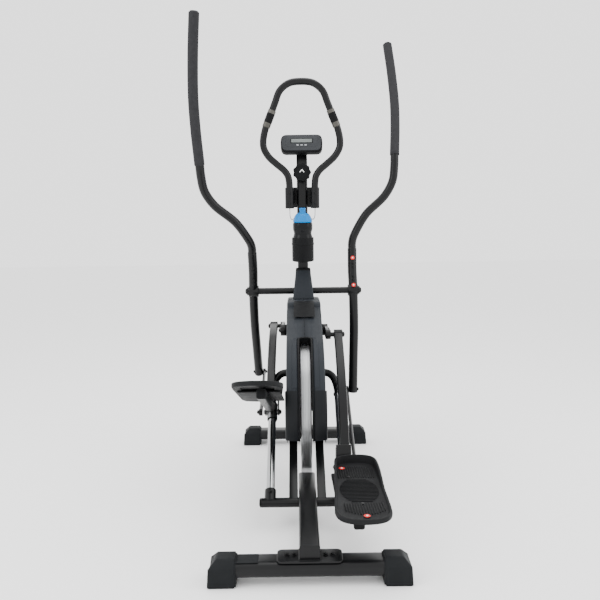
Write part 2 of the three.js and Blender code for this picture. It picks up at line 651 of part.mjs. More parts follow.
for (const [name, side] of SIDES) {
  const swing = armSwing(side);
  for (const [piece, make, finish] of [['lower_arm', lowerArm, BLACK_PAINT],
    ['upper_handle', upperHandle, BLACK_PAINT], ['foam_grip', foamGrip, FOAM],
    ['shaft_cap', shaftCap, BLACK_PAINT]]) {
    place(`${name}_${piece}`, onSide(make(), side), finish, PIVOT.y, PIVOT.z, swing);
  }
}

// ------------------------------------------------------ mast and what it holds

// A square steel tube; its top is cut flush to the console's back, and the cable
// leaves through a window low in its rear wall.
const CONSOLE_MID = (CONSOLE.low + CONSOLE.high) / 2;
const consoleY = mastY(CONSOLE_MID) - 6;
function mast() {
  const [from, to] = [MAST.bottom - 700, MAST.top - 700].map((z) => z / Math.cos(mastAngle));
  const outer = plateZ(roundRect(2 * MAST.half, 2 * MAST.half, MAST.corner), from, to);
  const inner = plateZ(roundRect(2 * MAST.half - 5, 2 * MAST.half - 5, MAST.corner - 2.5),
    from - 9, to + 9);
  const top = box(-90, 90, -90, 90, -CONSOLE.back - GAP, 90)
    .rotateX(Math.PI / 2 - radians(CONSOLE.tilt)).translate(0, consoleY, CONSOLE_MID);
  const window = box(-7, 7, -MAST.half - 5, 0, 6, 32);
  return cut(alongMast(outer, 700), alongMast(inner, 700), alongMast(window, 700), top);
}
place('mast', mast(), BLACK_PAINT);

// The clamp: a plate ahead of the mast, with two arms that come round it to the
// upright sleeves for the handlebar.
const CLAMP = { z: 1008, half: 59, height: 76, stand: 27, legs: 47 };
const handlebarY = -(MAST.half + CLAMP.stand);
function handlebarClamp() {
  const plate = box(-CLAMP.half + 3, CLAMP.half - 3, MAST.half + GAP, MAST.half + 7,
    -CLAMP.height / 2, CLAMP.height / 2);
  const sleeve = (x) => barBetween(V(x, handlebarY, -CLAMP.height / 2),
    V(x, handlebarY, CLAMP.height / 2), 16.5, 20);
  const web = (x) => box(x - 9, x + 9, handlebarY, MAST.half + 4, -30, 30);
  const bore = (x) => barBetween(V(x, handlebarY, -CLAMP.height / 2 + 8),
    V(x, handlebarY, CLAMP.height / 2 + 5), HANDLEBAR_TUBE + GAP, 20);
  const lead = (x) => barBetween(V(x, handlebarY, -CLAMP.height), V(x, handlebarY, 0), 5, 12);
  const [left, right] = [-CLAMP.legs, CLAMP.legs];
  return cut(join(plate, sleeve(left), sleeve(right), web(left), web(right)),
    bore(left), bore(right), lead(left), lead(right));
}
place('handlebar_clamp', handlebarClamp(), BLACK_PAINT, mastY(CLAMP.z), CLAMP.z, mastAngle);

// The fixed handlebar: one bent tube in the shape of a lyre.
const LYRE = [[47, -29], [47, 20], [47.5, 55], [52, 80], [66, 101], [92, 123], [121, 150],
  [138, 180], [140, 208], [131, 250], [115.6, 288], [94.5, 341], [77, 382], [44, 408]];
const LYRE_TOP = 414;
function fixedHandlebar() {
  const right = LYRE.map(([x, z]) => V(x, handlebarY, z));
  const left = LYRE.map(([x, z]) => V(-x, handlebarY, z)).reverse();
  return rod([...right, V(0, handlebarY, LYRE_TOP), ...left], HANDLEBAR_TUBE, 42, 8);
}

// Pulse sensors: metal half-shells around the upper bends of the handlebar.
const SENSOR_ROUTE = [[127.5, 258.5], [115.6, 288], [106.5, 311]];
function pulseSensor() {
  const outer = rod(SENSOR_ROUTE.map(([x, z]) => V(x, handlebarY, z)), HANDLEBAR_TUBE + 2.2, 4, 10);
  const inner = rod([[139, 222], [131, 250], [115.6, 288], [94.5, 341], [85, 366]]
    .map(([x, z]) => V(x, handlebarY, z)), HANDLEBAR_TUBE + 0.8, 10, 10);
  return cut(outer, inner);
}
place('fixed_handlebar', fixedHandlebar(), BLACK_PAINT, mastY(CLAMP.z), CLAMP.z, mastAngle);
for (const [name, side] of SIDES) {
  place(`${name}_pulse_sensor`, onSide(pulseSensor(), side), STEEL, mastY(CLAMP.z), CLAMP.z,
    mastAngle);
}

// The thin leads of the pulse sensors, from the sleeves in to the mast.
function pulseLead() {
  const low = -CLAMP.height / 2;
  return rod([V(47, handlebarY, low + 6), V(47, handlebarY, low - 14), V(46, handlebarY + 4, low - 30),
    V(41, handlebarY + 20, low - 42), V(31, -8, low - 40), V(MAST.half + 5, -3, low - 38),
    V(MAST.half + GAP, -3, low - 38)], 1.6, 14, 8);
}
for (const [name, side] of SIDES) {
  place(`${name}_pulse_lead`, onSide(pulseLead(), side), RUBBER, mastY(CLAMP.z), CLAMP.z,
    mastAngle);
}

// The console: a wide housing whose face leans back towards the user.
// In the console's own frame X is across, Y runs up the face and Z points at the user.
const facePlate = (width, height, corner, z0, z1, y = 0) =>
  plateZ(roundRect(width, height, corner), z0, z1, corner > 5 ? 4 : 1).translate(0, y, 0);
function inConsole(name, geometry, finish) {
  const mesh = place(name, geometry, finish, consoleY, CONSOLE_MID);
  mesh.rotation.set(Math.PI / 2 - radians(CONSOLE.tilt), 0, 0);
  return mesh;
}
const BUTTON = { y: -21.5, pitch: 13, width: 8, height: 5 };
const SCREEN_SIZE = { width: 78, height: 15, y: -1 };
inConsole('console_housing', cut(
  join(facePlate(2 * CONSOLE.half, CONSOLE.tall, 24, -16, 16),
    facePlate(2 * CONSOLE.half - 40, CONSOLE.tall - 18, 14, -CONSOLE.back, -10)),
  facePlate(SCREEN_SIZE.width + 1, SCREEN_SIZE.height + 1, 2, 10, 20, SCREEN_SIZE.y),
  ...[-1, 0, 1].map((i) => facePlate(BUTTON.width + 0.8, BUTTON.height + 0.8, 1, 8, 20, BUTTON.y)
    .translate(i * BUTTON.pitch, 0, 0))), CONSOLE_GREY);
inConsole('console_screen', facePlate(SCREEN_SIZE.width, SCREEN_SIZE.height, 1.5, 10.3, 15.2,
  SCREEN_SIZE.y), SCREEN);
for (const [i, name] of ['left', 'middle', 'right'].entries()) {
  inConsole(`console_button_${name}`, facePlate(BUTTON.width, BUTTON.height, 1, 9.6, 17.4,
    BUTTON.y).translate((i - 1) * BUTTON.pitch, 0, 0), BLACK_PLASTIC);
}

// The lobed tension knob, on the user's side of the mast.
function tensionKnob() {
  const points = [];
  const steps = KNOB.lobes * 4;
  for (let i = 0; i < steps; i += 1) {
    const angle = 2 * Math.PI * i / steps;
    const radius = KNOB.radius - 1.6 + 1.6 * Math.cos(KNOB.lobes * angle);
    points.push([radius * Math.cos(angle), radius * Math.sin(angle)]);
  }
  const grip = plateZ(outlineShape(points), 4, KNOB.height);
  const skirt = plateZ(circle(26), 0, 5);
  return join(grip, skirt).rotateX(Math.PI / 2);
}
const knobY = mastY(KNOB.z) - (MAST.half + GAP) / Math.cos(mastAngle);
place('tension_knob', tensionKnob(), BLACK_PLASTIC, knobY, KNOB.z, mastAngle);

// The brake cable, from the foot of the mast down to the brake's free end.
place('tension_cable', rod([V(0, mastY(KNOB.z), KNOB.z), V(0, mastY(900), 900),
  V(0, mastY(760), 760), V(0, mastY(732) - 5, 732), V(0, mastY(715) - 20, 715),
  V(0, 972, 690), V(0, 970, 640), V(0, 967, 590), V(0, 952, 520), V(0, 925, 458)], 2, 22, 8),
RUBBER);

// The bottle cage: a cup and a ring on an arm from the mast, holding the bottle.
const bottleY = (z) => mastY(z) - BOTTLE.stand;
function lathe(profile, segments = 16) {
  return new THREE.LatheGeometry(profile.map(([r, z]) => new THREE.Vector2(r, z)), segments)
    .rotateX(Math.PI / 2);
}
const cageZ = BOTTLE.low - 6;
function bottleCage() {
  const [inner, outer] = [BOTTLE.radius + 0.8, BOTTLE.radius + 4];
  const cup = lathe([[0, 0], [outer - 3, 0], [outer, 4], [outer, 88], [inner, 88], [inner, 5.6],
    [0, 5.6]]);
  const stem = box(-14, 14, inner + 1, BOTTLE.stand - MAST.half - GAP - 0.2, 8, 84);
  return join(cup, stem);
}
place('bottle_cage', bottleCage(), BLACK_PLASTIC, bottleY(cageZ), cageZ, mastAngle);
const R = BOTTLE.radius;
place('bottle', lathe([[0, 6], [R - 4, 6], [R, 10], [R, 84], [R - 1.5, 96], [R - 4, 104],
  [R - 1.5, 112], [R, 120], [R, 138], [R - 4, 144], [R - 6, 144.5], [0, 144.5]]),
BLACK_PLASTIC, bottleY(cageZ), cageZ, mastAngle);
place('bottle_cap', lathe([[0, 144.8], [R - 2, 144.8], [R - 2, 150], [R - 9, 162], [16, 171],
  [11, 174], [11, 186], [13, 188], [13, 194], [9, 197], [0, 197]]),
BLUE_PLASTIC, bottleY(cageZ), cageZ, mastAngle);

// ---------------------------------------------------------- transport wheels

const wheel = () => cut(barX(WHEEL.radius, 156, 176, 0, 0, 24), barX(5 + GAP, 150, 190, 0, 0, 12));
for (const [name, side] of SIDES) {
  place(`${name}_transport_wheel`, onSide(wheel(), side), RUBBER, wheelY, WHEEL.z);
}

export default trainer;
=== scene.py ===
# %% [markdown]
# # An elliptical trainer
#
# The machine is already engineered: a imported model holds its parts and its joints.
# This lesson builds the surfaces a person sees, each one fitted around those parts,
# and lets every piece ride on the body that carries it.

# %% Load the engineered model
import bmesh
import bpy
import json
from math import atan2, cos, hypot, pi, radians, sin, tan
from mathutils import Matrix, Vector


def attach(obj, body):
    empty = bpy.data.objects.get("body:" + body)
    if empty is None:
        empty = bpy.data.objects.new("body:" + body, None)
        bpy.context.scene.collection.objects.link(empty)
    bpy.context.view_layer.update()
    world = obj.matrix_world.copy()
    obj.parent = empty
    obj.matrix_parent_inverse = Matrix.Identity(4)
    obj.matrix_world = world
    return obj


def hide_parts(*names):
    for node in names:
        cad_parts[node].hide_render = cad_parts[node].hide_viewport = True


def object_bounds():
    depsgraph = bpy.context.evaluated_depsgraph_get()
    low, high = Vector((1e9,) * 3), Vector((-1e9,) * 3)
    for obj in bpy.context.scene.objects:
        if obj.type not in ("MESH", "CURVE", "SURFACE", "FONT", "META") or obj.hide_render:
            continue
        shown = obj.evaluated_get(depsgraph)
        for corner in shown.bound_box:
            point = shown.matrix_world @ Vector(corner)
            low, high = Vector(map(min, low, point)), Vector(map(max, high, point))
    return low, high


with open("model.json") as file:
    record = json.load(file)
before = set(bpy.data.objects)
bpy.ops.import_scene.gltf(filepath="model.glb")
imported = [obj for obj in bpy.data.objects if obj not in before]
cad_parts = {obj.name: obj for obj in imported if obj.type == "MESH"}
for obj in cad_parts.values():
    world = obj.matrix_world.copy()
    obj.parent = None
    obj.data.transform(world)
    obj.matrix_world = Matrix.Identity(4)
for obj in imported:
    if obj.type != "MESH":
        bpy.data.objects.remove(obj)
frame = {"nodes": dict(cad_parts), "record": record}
cad_box = [list(corner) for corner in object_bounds()]
MM = 0.001
joints = {joint["name"]: joint for joint in frame["record"]["behaviour"]["joints"]}
back = cad_box[0][1]
print("parts:", len(frame["nodes"]), " joints:", len(joints))

# %% [markdown]
# ## The camera
#
# A person standing behind the machine looks slightly down at it. The lens is a normal
# one and stands close, so the pedals nearer the viewer look larger than the console.

# %% Camera
LENS = 39.76
PITCH, YAW, ROLL = radians(5.37), radians(0.14), radians(0.77)
EYE_X, EYE_BACK, EYE_Z = -0.0196, 1.5535, 0.8571
ahead = Vector((sin(YAW) * cos(PITCH), cos(YAW) * cos(PITCH), -sin(PITCH)))
level = Vector((cos(YAW), -sin(YAW), 0))
fall = ahead.cross(level)
across = cos(ROLL) * level + sin(ROLL) * fall
down = cos(ROLL) * fall - sin(ROLL) * level
camera = bpy.data.objects.new("camera", bpy.data.cameras.new("camera"))
camera.data.lens = LENS
turn = Matrix((across, -down, -ahead)).transposed().to_4x4()
camera.matrix_world = Matrix.Translation((EYE_X, back - EYE_BACK, EYE_Z)) @ turn
bpy.context.scene.collection.objects.link(camera)
bpy.context.scene.camera = camera
print("camera at", tuple(round(v, 3) for v in camera.location))

# %% [markdown]
# ## Floor and light
#
# Black paint shows only what it reflects. A pale room with one broad soft lamp on each
# side draws long quiet highlights down the tubes without hard shadows.

# %% Studio
ROOM_LIGHT, FLOOR_SIZE, FLOOR_TONE, FLOOR_ROUGH = 2.1, 40, 0.94, 0.75


def glow(name, place, aim, width, height, power):
    lamp = bpy.data.lights.new(name, "AREA")
    lamp.shape, lamp.size, lamp.size_y, lamp.energy = "RECTANGLE", width, height, power
    holder = bpy.data.objects.new(name, lamp)
    bpy.context.scene.collection.objects.link(holder)
    holder.location = place
    holder.rotation_euler = (Vector(aim) - Vector(place)).to_track_quat("-Z", "Y").to_euler()


world = bpy.data.worlds.new("pale room")
bpy.context.scene.world = world
world.use_nodes = True
world.node_tree.nodes["Background"].inputs[0].default_value = (1, 1, 1, 1)
world.node_tree.nodes["Background"].inputs[1].default_value = ROOM_LIGHT
glow("left window", (-2.6, -1.6, 2.4), (0, 0, 0.7), 1.6, 2.4, 55)
glow("right window", (2.8, -0.8, 2.0), (0, 0, 0.8), 1.2, 2.2, 32)
glow("ceiling", (0, 0.2, 3.4), (0, 0, 0.6), 2.4, 2.4, 45)
bpy.ops.mesh.primitive_plane_add(size=FLOOR_SIZE)
floor = bpy.context.object
floor.name = "floor"
pale = bpy.data.materials.new("pale floor")
pale.use_nodes = True
pale.node_tree.nodes["Principled BSDF"].inputs["Base Color"].default_value = (FLOOR_TONE,) * 3 + (1,)
pale.node_tree.nodes["Principled BSDF"].inputs["Roughness"].default_value = FLOOR_ROUGH
floor.data.materials.append(pale)
print("lamps:", len(bpy.data.lights))

# %% [markdown]
# ## Finishes
#
# A real surface is never one flat value. Each finish below starts from the part's own
# base colour and adds three things: slow drift in tone, slow drift in gloss, and a fine
# grain that only catches the light.

# %% A finish from drift and grain
slots = {slot["slot"]: slot for slot in frame["record"]["materials"]}
looks = {}
GRAIN_HEIGHT = 0.0004


def finish(name, slot, rough, metal=0.0, drift=0.12, patch=18, grain=900, depth=0.1,
           polish=0.08, lift=1.0, stretch=(1, 1, 1), tint=None, shine=0.3):
    material = bpy.data.materials.new(name)
    material.use_nodes = True
    nodes, links = material.node_tree.nodes, material.node_tree.links
    skin = nodes["Principled BSDF"]
    skin.inputs["Metallic"].default_value = metal
    skin.inputs["Specular IOR Level"].default_value = shine
    place = nodes.new("ShaderNodeTexCoord")
    scale = nodes.new("ShaderNodeMapping")
    scale.inputs["Scale"].default_value = stretch
    links.new(place.outputs["Object"], scale.inputs["Vector"])

    def cloud(size, detail):
        noise = nodes.new("ShaderNodeTexNoise")
        noise.inputs["Scale"].default_value = size
        noise.inputs["Detail"].default_value = detail
        links.new(scale.outputs["Vector"], noise.inputs["Vector"])
        return noise

    base = [min(1.0, value * lift) for value in (tint or slots[slot]["base_color"])[:3]]
    tones = nodes.new("ShaderNodeValToRGB")
    tones.color_ramp.elements[0].position, tones.color_ramp.elements[1].position = 0.3, 0.7
    tones.color_ramp.elements[0].color = [value * (1 - drift) for value in base] + [1]
    tones.color_ramp.elements[1].color = [min(1, value * (1 + drift)) for value in base] + [1]
    slow = cloud(patch, 3)
    links.new(slow.outputs["Fac"], tones.inputs["Fac"])
    links.new(tones.outputs["Color"], skin.inputs["Base Color"])
    gloss = nodes.new("ShaderNodeMapRange")
    gloss.inputs["To Min"].default_value = max(0.03, rough - polish)
    gloss.inputs["To Max"].default_value = min(1, rough + polish)
    links.new(cloud(patch * 2.3, 4).outputs["Fac"], gloss.inputs["Value"])
    links.new(gloss.outputs["Result"], skin.inputs["Roughness"])
    bump = nodes.new("ShaderNodeBump")
    bump.inputs["Strength"].default_value = depth
    bump.inputs["Distance"].default_value = GRAIN_HEIGHT
    links.new(cloud(grain, 2).outputs["Fac"], bump.inputs["Height"])
    links.new(bump.outputs["Normal"], skin.inputs["Normal"])
    looks[name] = (material, slot)
    return name


print("slots in the record:", len(slots))

# %% The finishes of this machine
paint = finish("gloss black powder coat", "black_paint", 0.3, grain=700, depth=0.02, shine=0.2, lift=0.2,
               polish=0.02)
foam = finish("closed-cell foam", "grip_foam", 0.75, grain=1300, depth=0.25, drift=0.15, patch=90,
              shine=0.16, lift=0.9)
shell = finish("blue-grey casing", "casing_plastic", 0.5, grain=1700, depth=0.3, drift=0.05, shine=0.12,
               lift=0.42)
lower = finish("darker lower casing", "casing_plastic", 0.42, grain=1700, depth=0.15, shine=0.14, lift=0.14)
trim = finish("black trim", "trim_plastic", 0.5, grain=1500, depth=0.25, shine=0.1, lift=0.25)
cap = finish("coarse cap plastic", "cap_plastic", 0.62, grain=1000, depth=0.5, shine=0.1, lift=0.3)
tread = finish("pedal plastic", "pedal_plastic", 0.55, grain=1200, depth=0.5, drift=0.15, shine=0.09,
               lift=0.32)
chrome = finish("polished chrome", "chrome", 0.1, 1.0, drift=0.03, depth=0.02, polish=0.03, lift=0.55)
zinc = finish("zinc plate", "steel", 0.34, 1.0, drift=0.15, patch=120, grain=1500, depth=0.1, lift=0.55)
pulse_metal = finish("dull pulse plate", "steel", 0.45, 1.0, tint=(0.085, 0.082, 0.074), depth=0.1)
turned_steel = finish("turned flywheel rim", "flywheel_steel", 0.3, 0.9, drift=0.2, patch=7,
                      grain=260, depth=0.35, stretch=(16, 0.5, 0.5), lift=0.62)
rubber = finish("black rubber", "rubber", 0.85, grain=1300, depth=0.4, shine=0.1)
lead_grey = finish("pale lead sleeve", "rubber", 0.5, tint=(0.42, 0.42, 0.41), depth=0.1)
console_grey = finish("console plastic", "console_plastic", 0.4, grain=1600, depth=0.15, lift=0.35,
                      shine=0.25)
key_grey = finish("button plastic", "trim_plastic", 0.45, tint=(0.3, 0.31, 0.32), depth=0.1)
screen = finish("display window", "screen", 0.15, drift=0.06, patch=40, grain=700, depth=0.02, lift=0.5)
blue = finish("bright blue plastic", "blue_plastic", 0.3, drift=0.05, grain=1200, depth=0.06,
              tint=(0.0, 0.15, 0.42), shine=0.12)
bottle_black = finish("bottle plastic", "black_gloss", 0.26, drift=0.2, depth=0.08, shine=0.12, lift=0.4)
red = finish("red sticker", "trim_plastic", 0.4, tint=(0.62, 0.015, 0.01), depth=0.05)
white = finish("pale print", "trim_plastic", 0.5, tint=(0.8, 0.8, 0.78), depth=0.05)
print("finishes:", len(looks))

# %% [markdown]
# ## Solids
#
# Almost everything here is a skin stretched over rings of points: a tube, a turned
# part or a plate with eased edges only differ in how the rings are placed.

# %% Rings into skins
def loft(rings, closed=False):
    n, total = len(rings[0]), len(rings)
    points = [Vector(point) for ring in rings for point in ring]
    faces = []
    for i in range(total if closed else total - 1):
        a, b = i * n, (i + 1) % total * n
        faces += [(a + j, a + (j + 1) % n, b + (j + 1) % n, b + j) for j in range(n)]
    if not closed:
        faces += [tuple(range(n))[::-1], tuple(range((total - 1) * n, total * n))]
    return points, faces


def rounded(corners, radius, steps=5):
    outline = []
    for i, corner in enumerate(corners):
        corner = Vector(corner)
        ends = []
        for other in (corners[i - 1], corners[(i + 1) % len(corners)]):
            arm = Vector(other) - corner
            ends.append(corner + arm.normalized() * min(radius, arm.length * 0.49))
        for k in range(steps + 1):
            t = k / steps
            outline.append((1 - t) ** 2 * ends[0] + 2 * t * (1 - t) * corner + t * t * ends[1])
    return outline


def inset(outline, depth):
    moved = []
    for i, point in enumerate(outline):
        before = (point - outline[i - 1]).normalized()
        after = (outline[(i + 1) % len(outline)] - point).normalized()
        normal = Vector((-before.y - after.y, before.x + after.x))
        size = max(normal.length, 0.6)
        moved.append(point + normal / size * depth * 2 / size)
    return moved


def anticlockwise(outline):
    outline = [Vector(point) for point in outline]
    area = sum(a.x * b.y - b.x * a.y for a, b in zip(outline, outline[1:] + outline[:1]))
    return outline if area > 0 else outline[::-1]


PLANES = {"x": lambda u, v, h: (h, u, v), "y": lambda u, v, h: (u, h, v),
          "z": lambda u, v, h: (u, v, h)}
EASE = [radians(angle) for angle in (90, 60, 30, 0)]


def slab(outline, low, high, edge=1.0, plane="x"):
    outline = anticlockwise(outline)
    put = PLANES[plane]
    levels = [(low + edge * (1 - sin(a)), edge * (1 - cos(a))) for a in EASE]
    levels += [(high - edge * (1 - sin(a)), edge * (1 - cos(a))) for a in EASE[::-1]]
    return loft([[put(p.x, p.y, h) for p in inset(outline, d)] for h, d in levels])


def turned(profile, at=(0, 0, 0), axis="x", sides=48, closed=False):
    put = PLANES[axis]
    rings = []
    for radius, height in profile:
        ring = [(radius * cos(2 * pi * i / sides), radius * sin(2 * pi * i / sides))
                for i in range(sides)]
        rings.append([Vector(put(u, v, height)) + Vector(at) for u, v in ring])
    return loft(rings, closed)


def disc(radius, low, high, at=(0, 0, 0), axis="x", edge=1.0, sides=48):
    return turned([(radius - edge, low), (radius - edge * 0.3, low + edge * 0.3),
                   (radius, low + edge), (radius, high - edge),
                   (radius - edge * 0.3, high - edge * 0.3), (radius - edge, high)], at, axis, sides)


print("a washer has", len(disc(10, 0, 2)[0]), "points")

# %% Tubes along a smooth path
def spline(points, per=8):
    points = [Vector(point) for point in points]
    ends = [2 * points[0] - points[1]] + points + [2 * points[-1] - points[-2]]
    path = []
    for i in range(1, len(ends) - 2):
        p0, p1, p2, p3 = ends[i - 1:i + 3]
        gaps = [max((b - a).length ** 0.5, 1e-4) for a, b in ((p0, p1), (p1, p2), (p2, p3))]
        m1 = (p1 - p0) / gaps[0] - (p2 - p0) / (gaps[0] + gaps[1]) + (p2 - p1) / gaps[1]
        m2 = (p2 - p1) / gaps[1] - (p3 - p1) / (gaps[1] + gaps[2]) + (p3 - p2) / gaps[2]
        m1, m2 = m1 * gaps[1], m2 * gaps[1]
        for k in range(per):
            t = k / per
            path.append((2 * t ** 3 - 3 * t ** 2 + 1) * p1 + (t ** 3 - 2 * t ** 2 + t) * m1
                        + (3 * t ** 2 - 2 * t ** 3) * p2 + (t ** 3 - t ** 2) * m2)
    return path + [points[-1]]


def sweep(path, section, ease=0.0, side_way=None):
    path = [Vector(point) for point in path]
    tangents = [(path[min(i + 1, len(path) - 1)] - path[max(i - 1, 0)]).normalized()
                for i in range(len(path))]
    if ease:
        path = [path[0]] + [path[0] + tangents[0] * ease] + path[1:-1] \
            + [path[-1] - tangents[-1] * ease] + [path[-1]]
        tangents = [tangents[0]] + tangents + [tangents[-1]]
    reach = max(Vector(point).length for point in section)
    way = Vector(side_way or ((0, 0, 1) if abs(tangents[0].z) < 0.9 else (1, 0, 0)))
    rings = []
    for i, (point, along) in enumerate(zip(path, tangents)):
        way = (way - along * way.dot(along)).normalized()
        other = along.cross(way)
        size = 1 - (ease / reach if ease and i in (0, len(path) - 1) else 0)
        rings.append([point + way * u * size + other * v * size for u, v in section])
    return loft(rings)


def ring_of(radius, sides=24):
    return [(radius * cos(2 * pi * i / sides), radius * sin(2 * pi * i / sides))
            for i in range(sides)]


def tube(points, radius, per=8, ease=1.0, sides=28):
    return sweep(spline(points, per), ring_of(radius, sides), ease)


def bar(start, end, radius, ease=0.8, sides=32):
    return sweep([start, end], ring_of(radius, sides), ease)


def hex_bolt(at, way, size=6.5, tall=5.0, washer=1.6):
    at, way = Vector(at), Vector(way).normalized()
    return [sweep([at, at + way * washer], ring_of(size * 1.45, 28), 0.4),
            sweep([at + way * washer, at + way * (washer + tall)], ring_of(size, 6), 0.9),
            sweep([at + way * (washer + tall), at + way * (washer + tall + 1.6)],
                  ring_of(size * 0.5, 16), 0.5)]


def bead(points, radius=2.0):
    return sweep(points, ring_of(radius, 8), 0.5)


print("a bolt has", len(hex_bolt((0, 0, 0), (0, 0, 1))), "solids")


# %% Pieces
made = set()


def piece(name, solids, look, body, nodes=(), at=None, side=1, crisp=32):
    mesh_maker = bmesh.new()
    for points, faces in solids:
        corners = [mesh_maker.verts.new((p[0] * side * MM, p[1] * MM, p[2] * MM)) for p in points]
        for face in faces:
            if len(set(face)) > 2:
                mesh_maker.faces.new([corners[i] for i in face])
        bmesh.ops.remove_doubles(mesh_maker, verts=corners, dist=2e-6)
    bmesh.ops.dissolve_degenerate(mesh_maker, edges=mesh_maker.edges, dist=1e-7)
    bmesh.ops.recalc_face_normals(mesh_maker, faces=mesh_maker.faces)
    for face in mesh_maker.faces:
        face.smooth = True
    mesh = bpy.data.meshes.new(name)
    mesh_maker.to_mesh(mesh)
    mesh_maker.free()
    mesh.set_sharp_from_angle(angle=radians(crisp))
    thing = bpy.data.objects.new(name, mesh)
    bpy.context.scene.collection.objects.link(thing)
    thing.matrix_world = at or Matrix.Translation((0, back, 0))
    bpy.context.view_layer.update()
    material, slot = looks[look]
    mesh.materials.append(material)
    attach(thing, body)
    if nodes:
        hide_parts(*nodes)
        made.update(nodes)
    return thing


def pose_at(y, z, angle=0.0):
    return Matrix.Translation((0, y, z)) @ Matrix.Rotation(angle, 4, "X")


SIDES = (("left", -1), ("right", 1))
print("sides:", [name for name, _ in SIDES])

# %% [markdown]
# ## The feet
#
# Two flat rounded tubes lie across the floor. Moulded caps sleeve over their ends: the
# caps have a steep lower wall, a crease, and sloping upper faces, so they are an eased
# plate whose upper half leans inwards.

# %% Stabilisers and their caps
TUBE_HALF, TUBE_LOW, TUBE_HIGH, TUBE_BACK, TUBE_FORE = 240, 20, 60, 4, 74
CAP_IN, CAP_OUT, CAP_DEEP, CAP_HIGH, CREASE = 186, 255, 78, 69, 48
FRONT = 1130
tube_end = rounded([(TUBE_BACK, TUBE_LOW), (TUBE_FORE, TUBE_LOW), (TUBE_FORE, TUBE_HIGH),
                    (TUBE_BACK, TUBE_HIGH)], 20, 7)


def end_cap():
    outline = rounded([(0, 0), (CAP_DEEP, 0), (CAP_DEEP, CREASE), (CAP_DEEP - 17, CAP_HIGH),
                       (17, CAP_HIGH), (0, CREASE)], 5, 4)
    points, faces = slab(outline, CAP_IN, CAP_OUT, 4)
    for p in points:
        lean = 20 * max(0, p.z - CREASE) / (CAP_HIGH - CREASE) + 3 * min(p.z, CREASE) / CREASE
        p.x -= lean * (p.x - CAP_IN) / (CAP_OUT - CAP_IN)
    return points, faces


for end, offset in (("rear", 0), ("front", FRONT)):
    place = Matrix.Translation((0, back + offset * MM, 0))
    piece(f"{end}_cross_tube", [slab(tube_end, -TUBE_HALF, TUBE_HALF, 1.2)],
          paint, "frame", [f"{end}_stabiliser"], place)
    for name, side in SIDES:
        lip = [(u, v) for u, v in ((2, 3), (76, 3), (76, CREASE - 1), (62, 64), (16, 64), (2, CREASE - 1))]
        piece(f"{end}_{name}_cap", [end_cap(), slab(rounded(lip, 5, 4), CAP_IN - 3, CAP_IN + 2, 1)],
              cap, "frame", [f"{end}_{name}_end_cap"], place, side)
WHEEL_Y, WHEEL_Z = 1224.6, 26
WHEEL_FORK_IN, WHEEL_FORK_OUT = 152, 177
for name, side in SIDES:
    fork = [slab(rounded([(1196, 21), (1232, 17), (1234, 36), (1196, 41)], 6, 4), x, x + 3, 0.6)
            for x in (WHEEL_FORK_IN, WHEEL_FORK_OUT)]
    piece(f"{name}_wheel_fork", fork
          + [bar((WHEEL_FORK_IN - 2, WHEEL_Y, WHEEL_Z), (WHEEL_FORK_OUT + 5, WHEEL_Y, WHEEL_Z), 4.6)],
          paint, "frame", side=side)
    tyre = [(5.4, 0), (12, 0), (13, 2.5), (17, 2.5), (19.4, 5), (20, 10), (19.4, 15), (17, 17.5),
            (13, 17.5), (12, 20), (5.4, 20)]
    piece(f"{name}_roller", [turned(tyre, (156.2, 0, 0), closed=True)], rubber, f"{name}_wheel",
          [f"{name}_transport_wheel"], pose_at(back + WHEEL_Y * MM, WHEEL_Z * MM), side)
print("rear cap is", CAP_OUT - CAP_IN, "mm long")

# %% [markdown]
# ## The welded frame
#
# Plates bolt the frame down to the two feet. A square spine runs forward from the rear
# plate, a round cross tube carries the rails, and two flat tubes pass the flywheel.

# %% Plates, spine and forks
RAIL_Y, RAIL_Z, RAIL_X, RAIL_R = 340, 79, 111, 12.7
RAIL_FOOT, RAIL_TOP, CROSS_HALF = 14.4, 406, 138
slope = radians(37.2)
SPINE_HALF, SPINE_LOW, SPINE_HIGH, SPINE_END, WELD_Z = 26, 61.5, 102, 528, 65
STAY_IN, STAY_OUT, STAY_X = 29, 55, 42
flywheel_y, flywheel_z = 700, 274
crank_y, crank_z = 851.5, 521
pivot_y, pivot_z = 1005, 653


def on_rail(along, side=1):
    return Vector((side * RAIL_X, RAIL_Y + along * cos(slope), RAIL_Z + along * sin(slope)))


def strip(a, b, half):
    along = (Vector(b) - Vector(a)).normalized()
    out = Vector((-along.y, along.x)) * half
    return [Vector(a) + out, Vector(a) - out, Vector(b) - out, Vector(b) + out]


def foot_plate(y):
    outline = rounded([(-82, y + 5), (82, y + 5), (82, y + 73), (-82, y + 73)], 15, 5)
    bolts = [bolt for x in (-58, -40, 40, 58) for bolt in hex_bolt((x, y + 39, 65.4), (0, 0, 1), 5.2, 4.4)]
    return [slab(outline, 60.3, 65.4, 1.2, "z")], bolts


def block(y0, y1, z0, z1, low, high):
    return slab(rounded([(y0, z0), (y1, z0), (y1, z1), (y0, z1)], 5), low, high)


def bearing_mounts(s):
    return [block(833, 869, 350, crank_z, s * STAY_X - 9, s * STAY_X + 9),
            block(688, 718, 280, 404, s * STAY_X - 8, s * STAY_X + 8),
            disc(24, s * 43 - 11, s * 43 + 11, (0, crank_y, crank_z))]


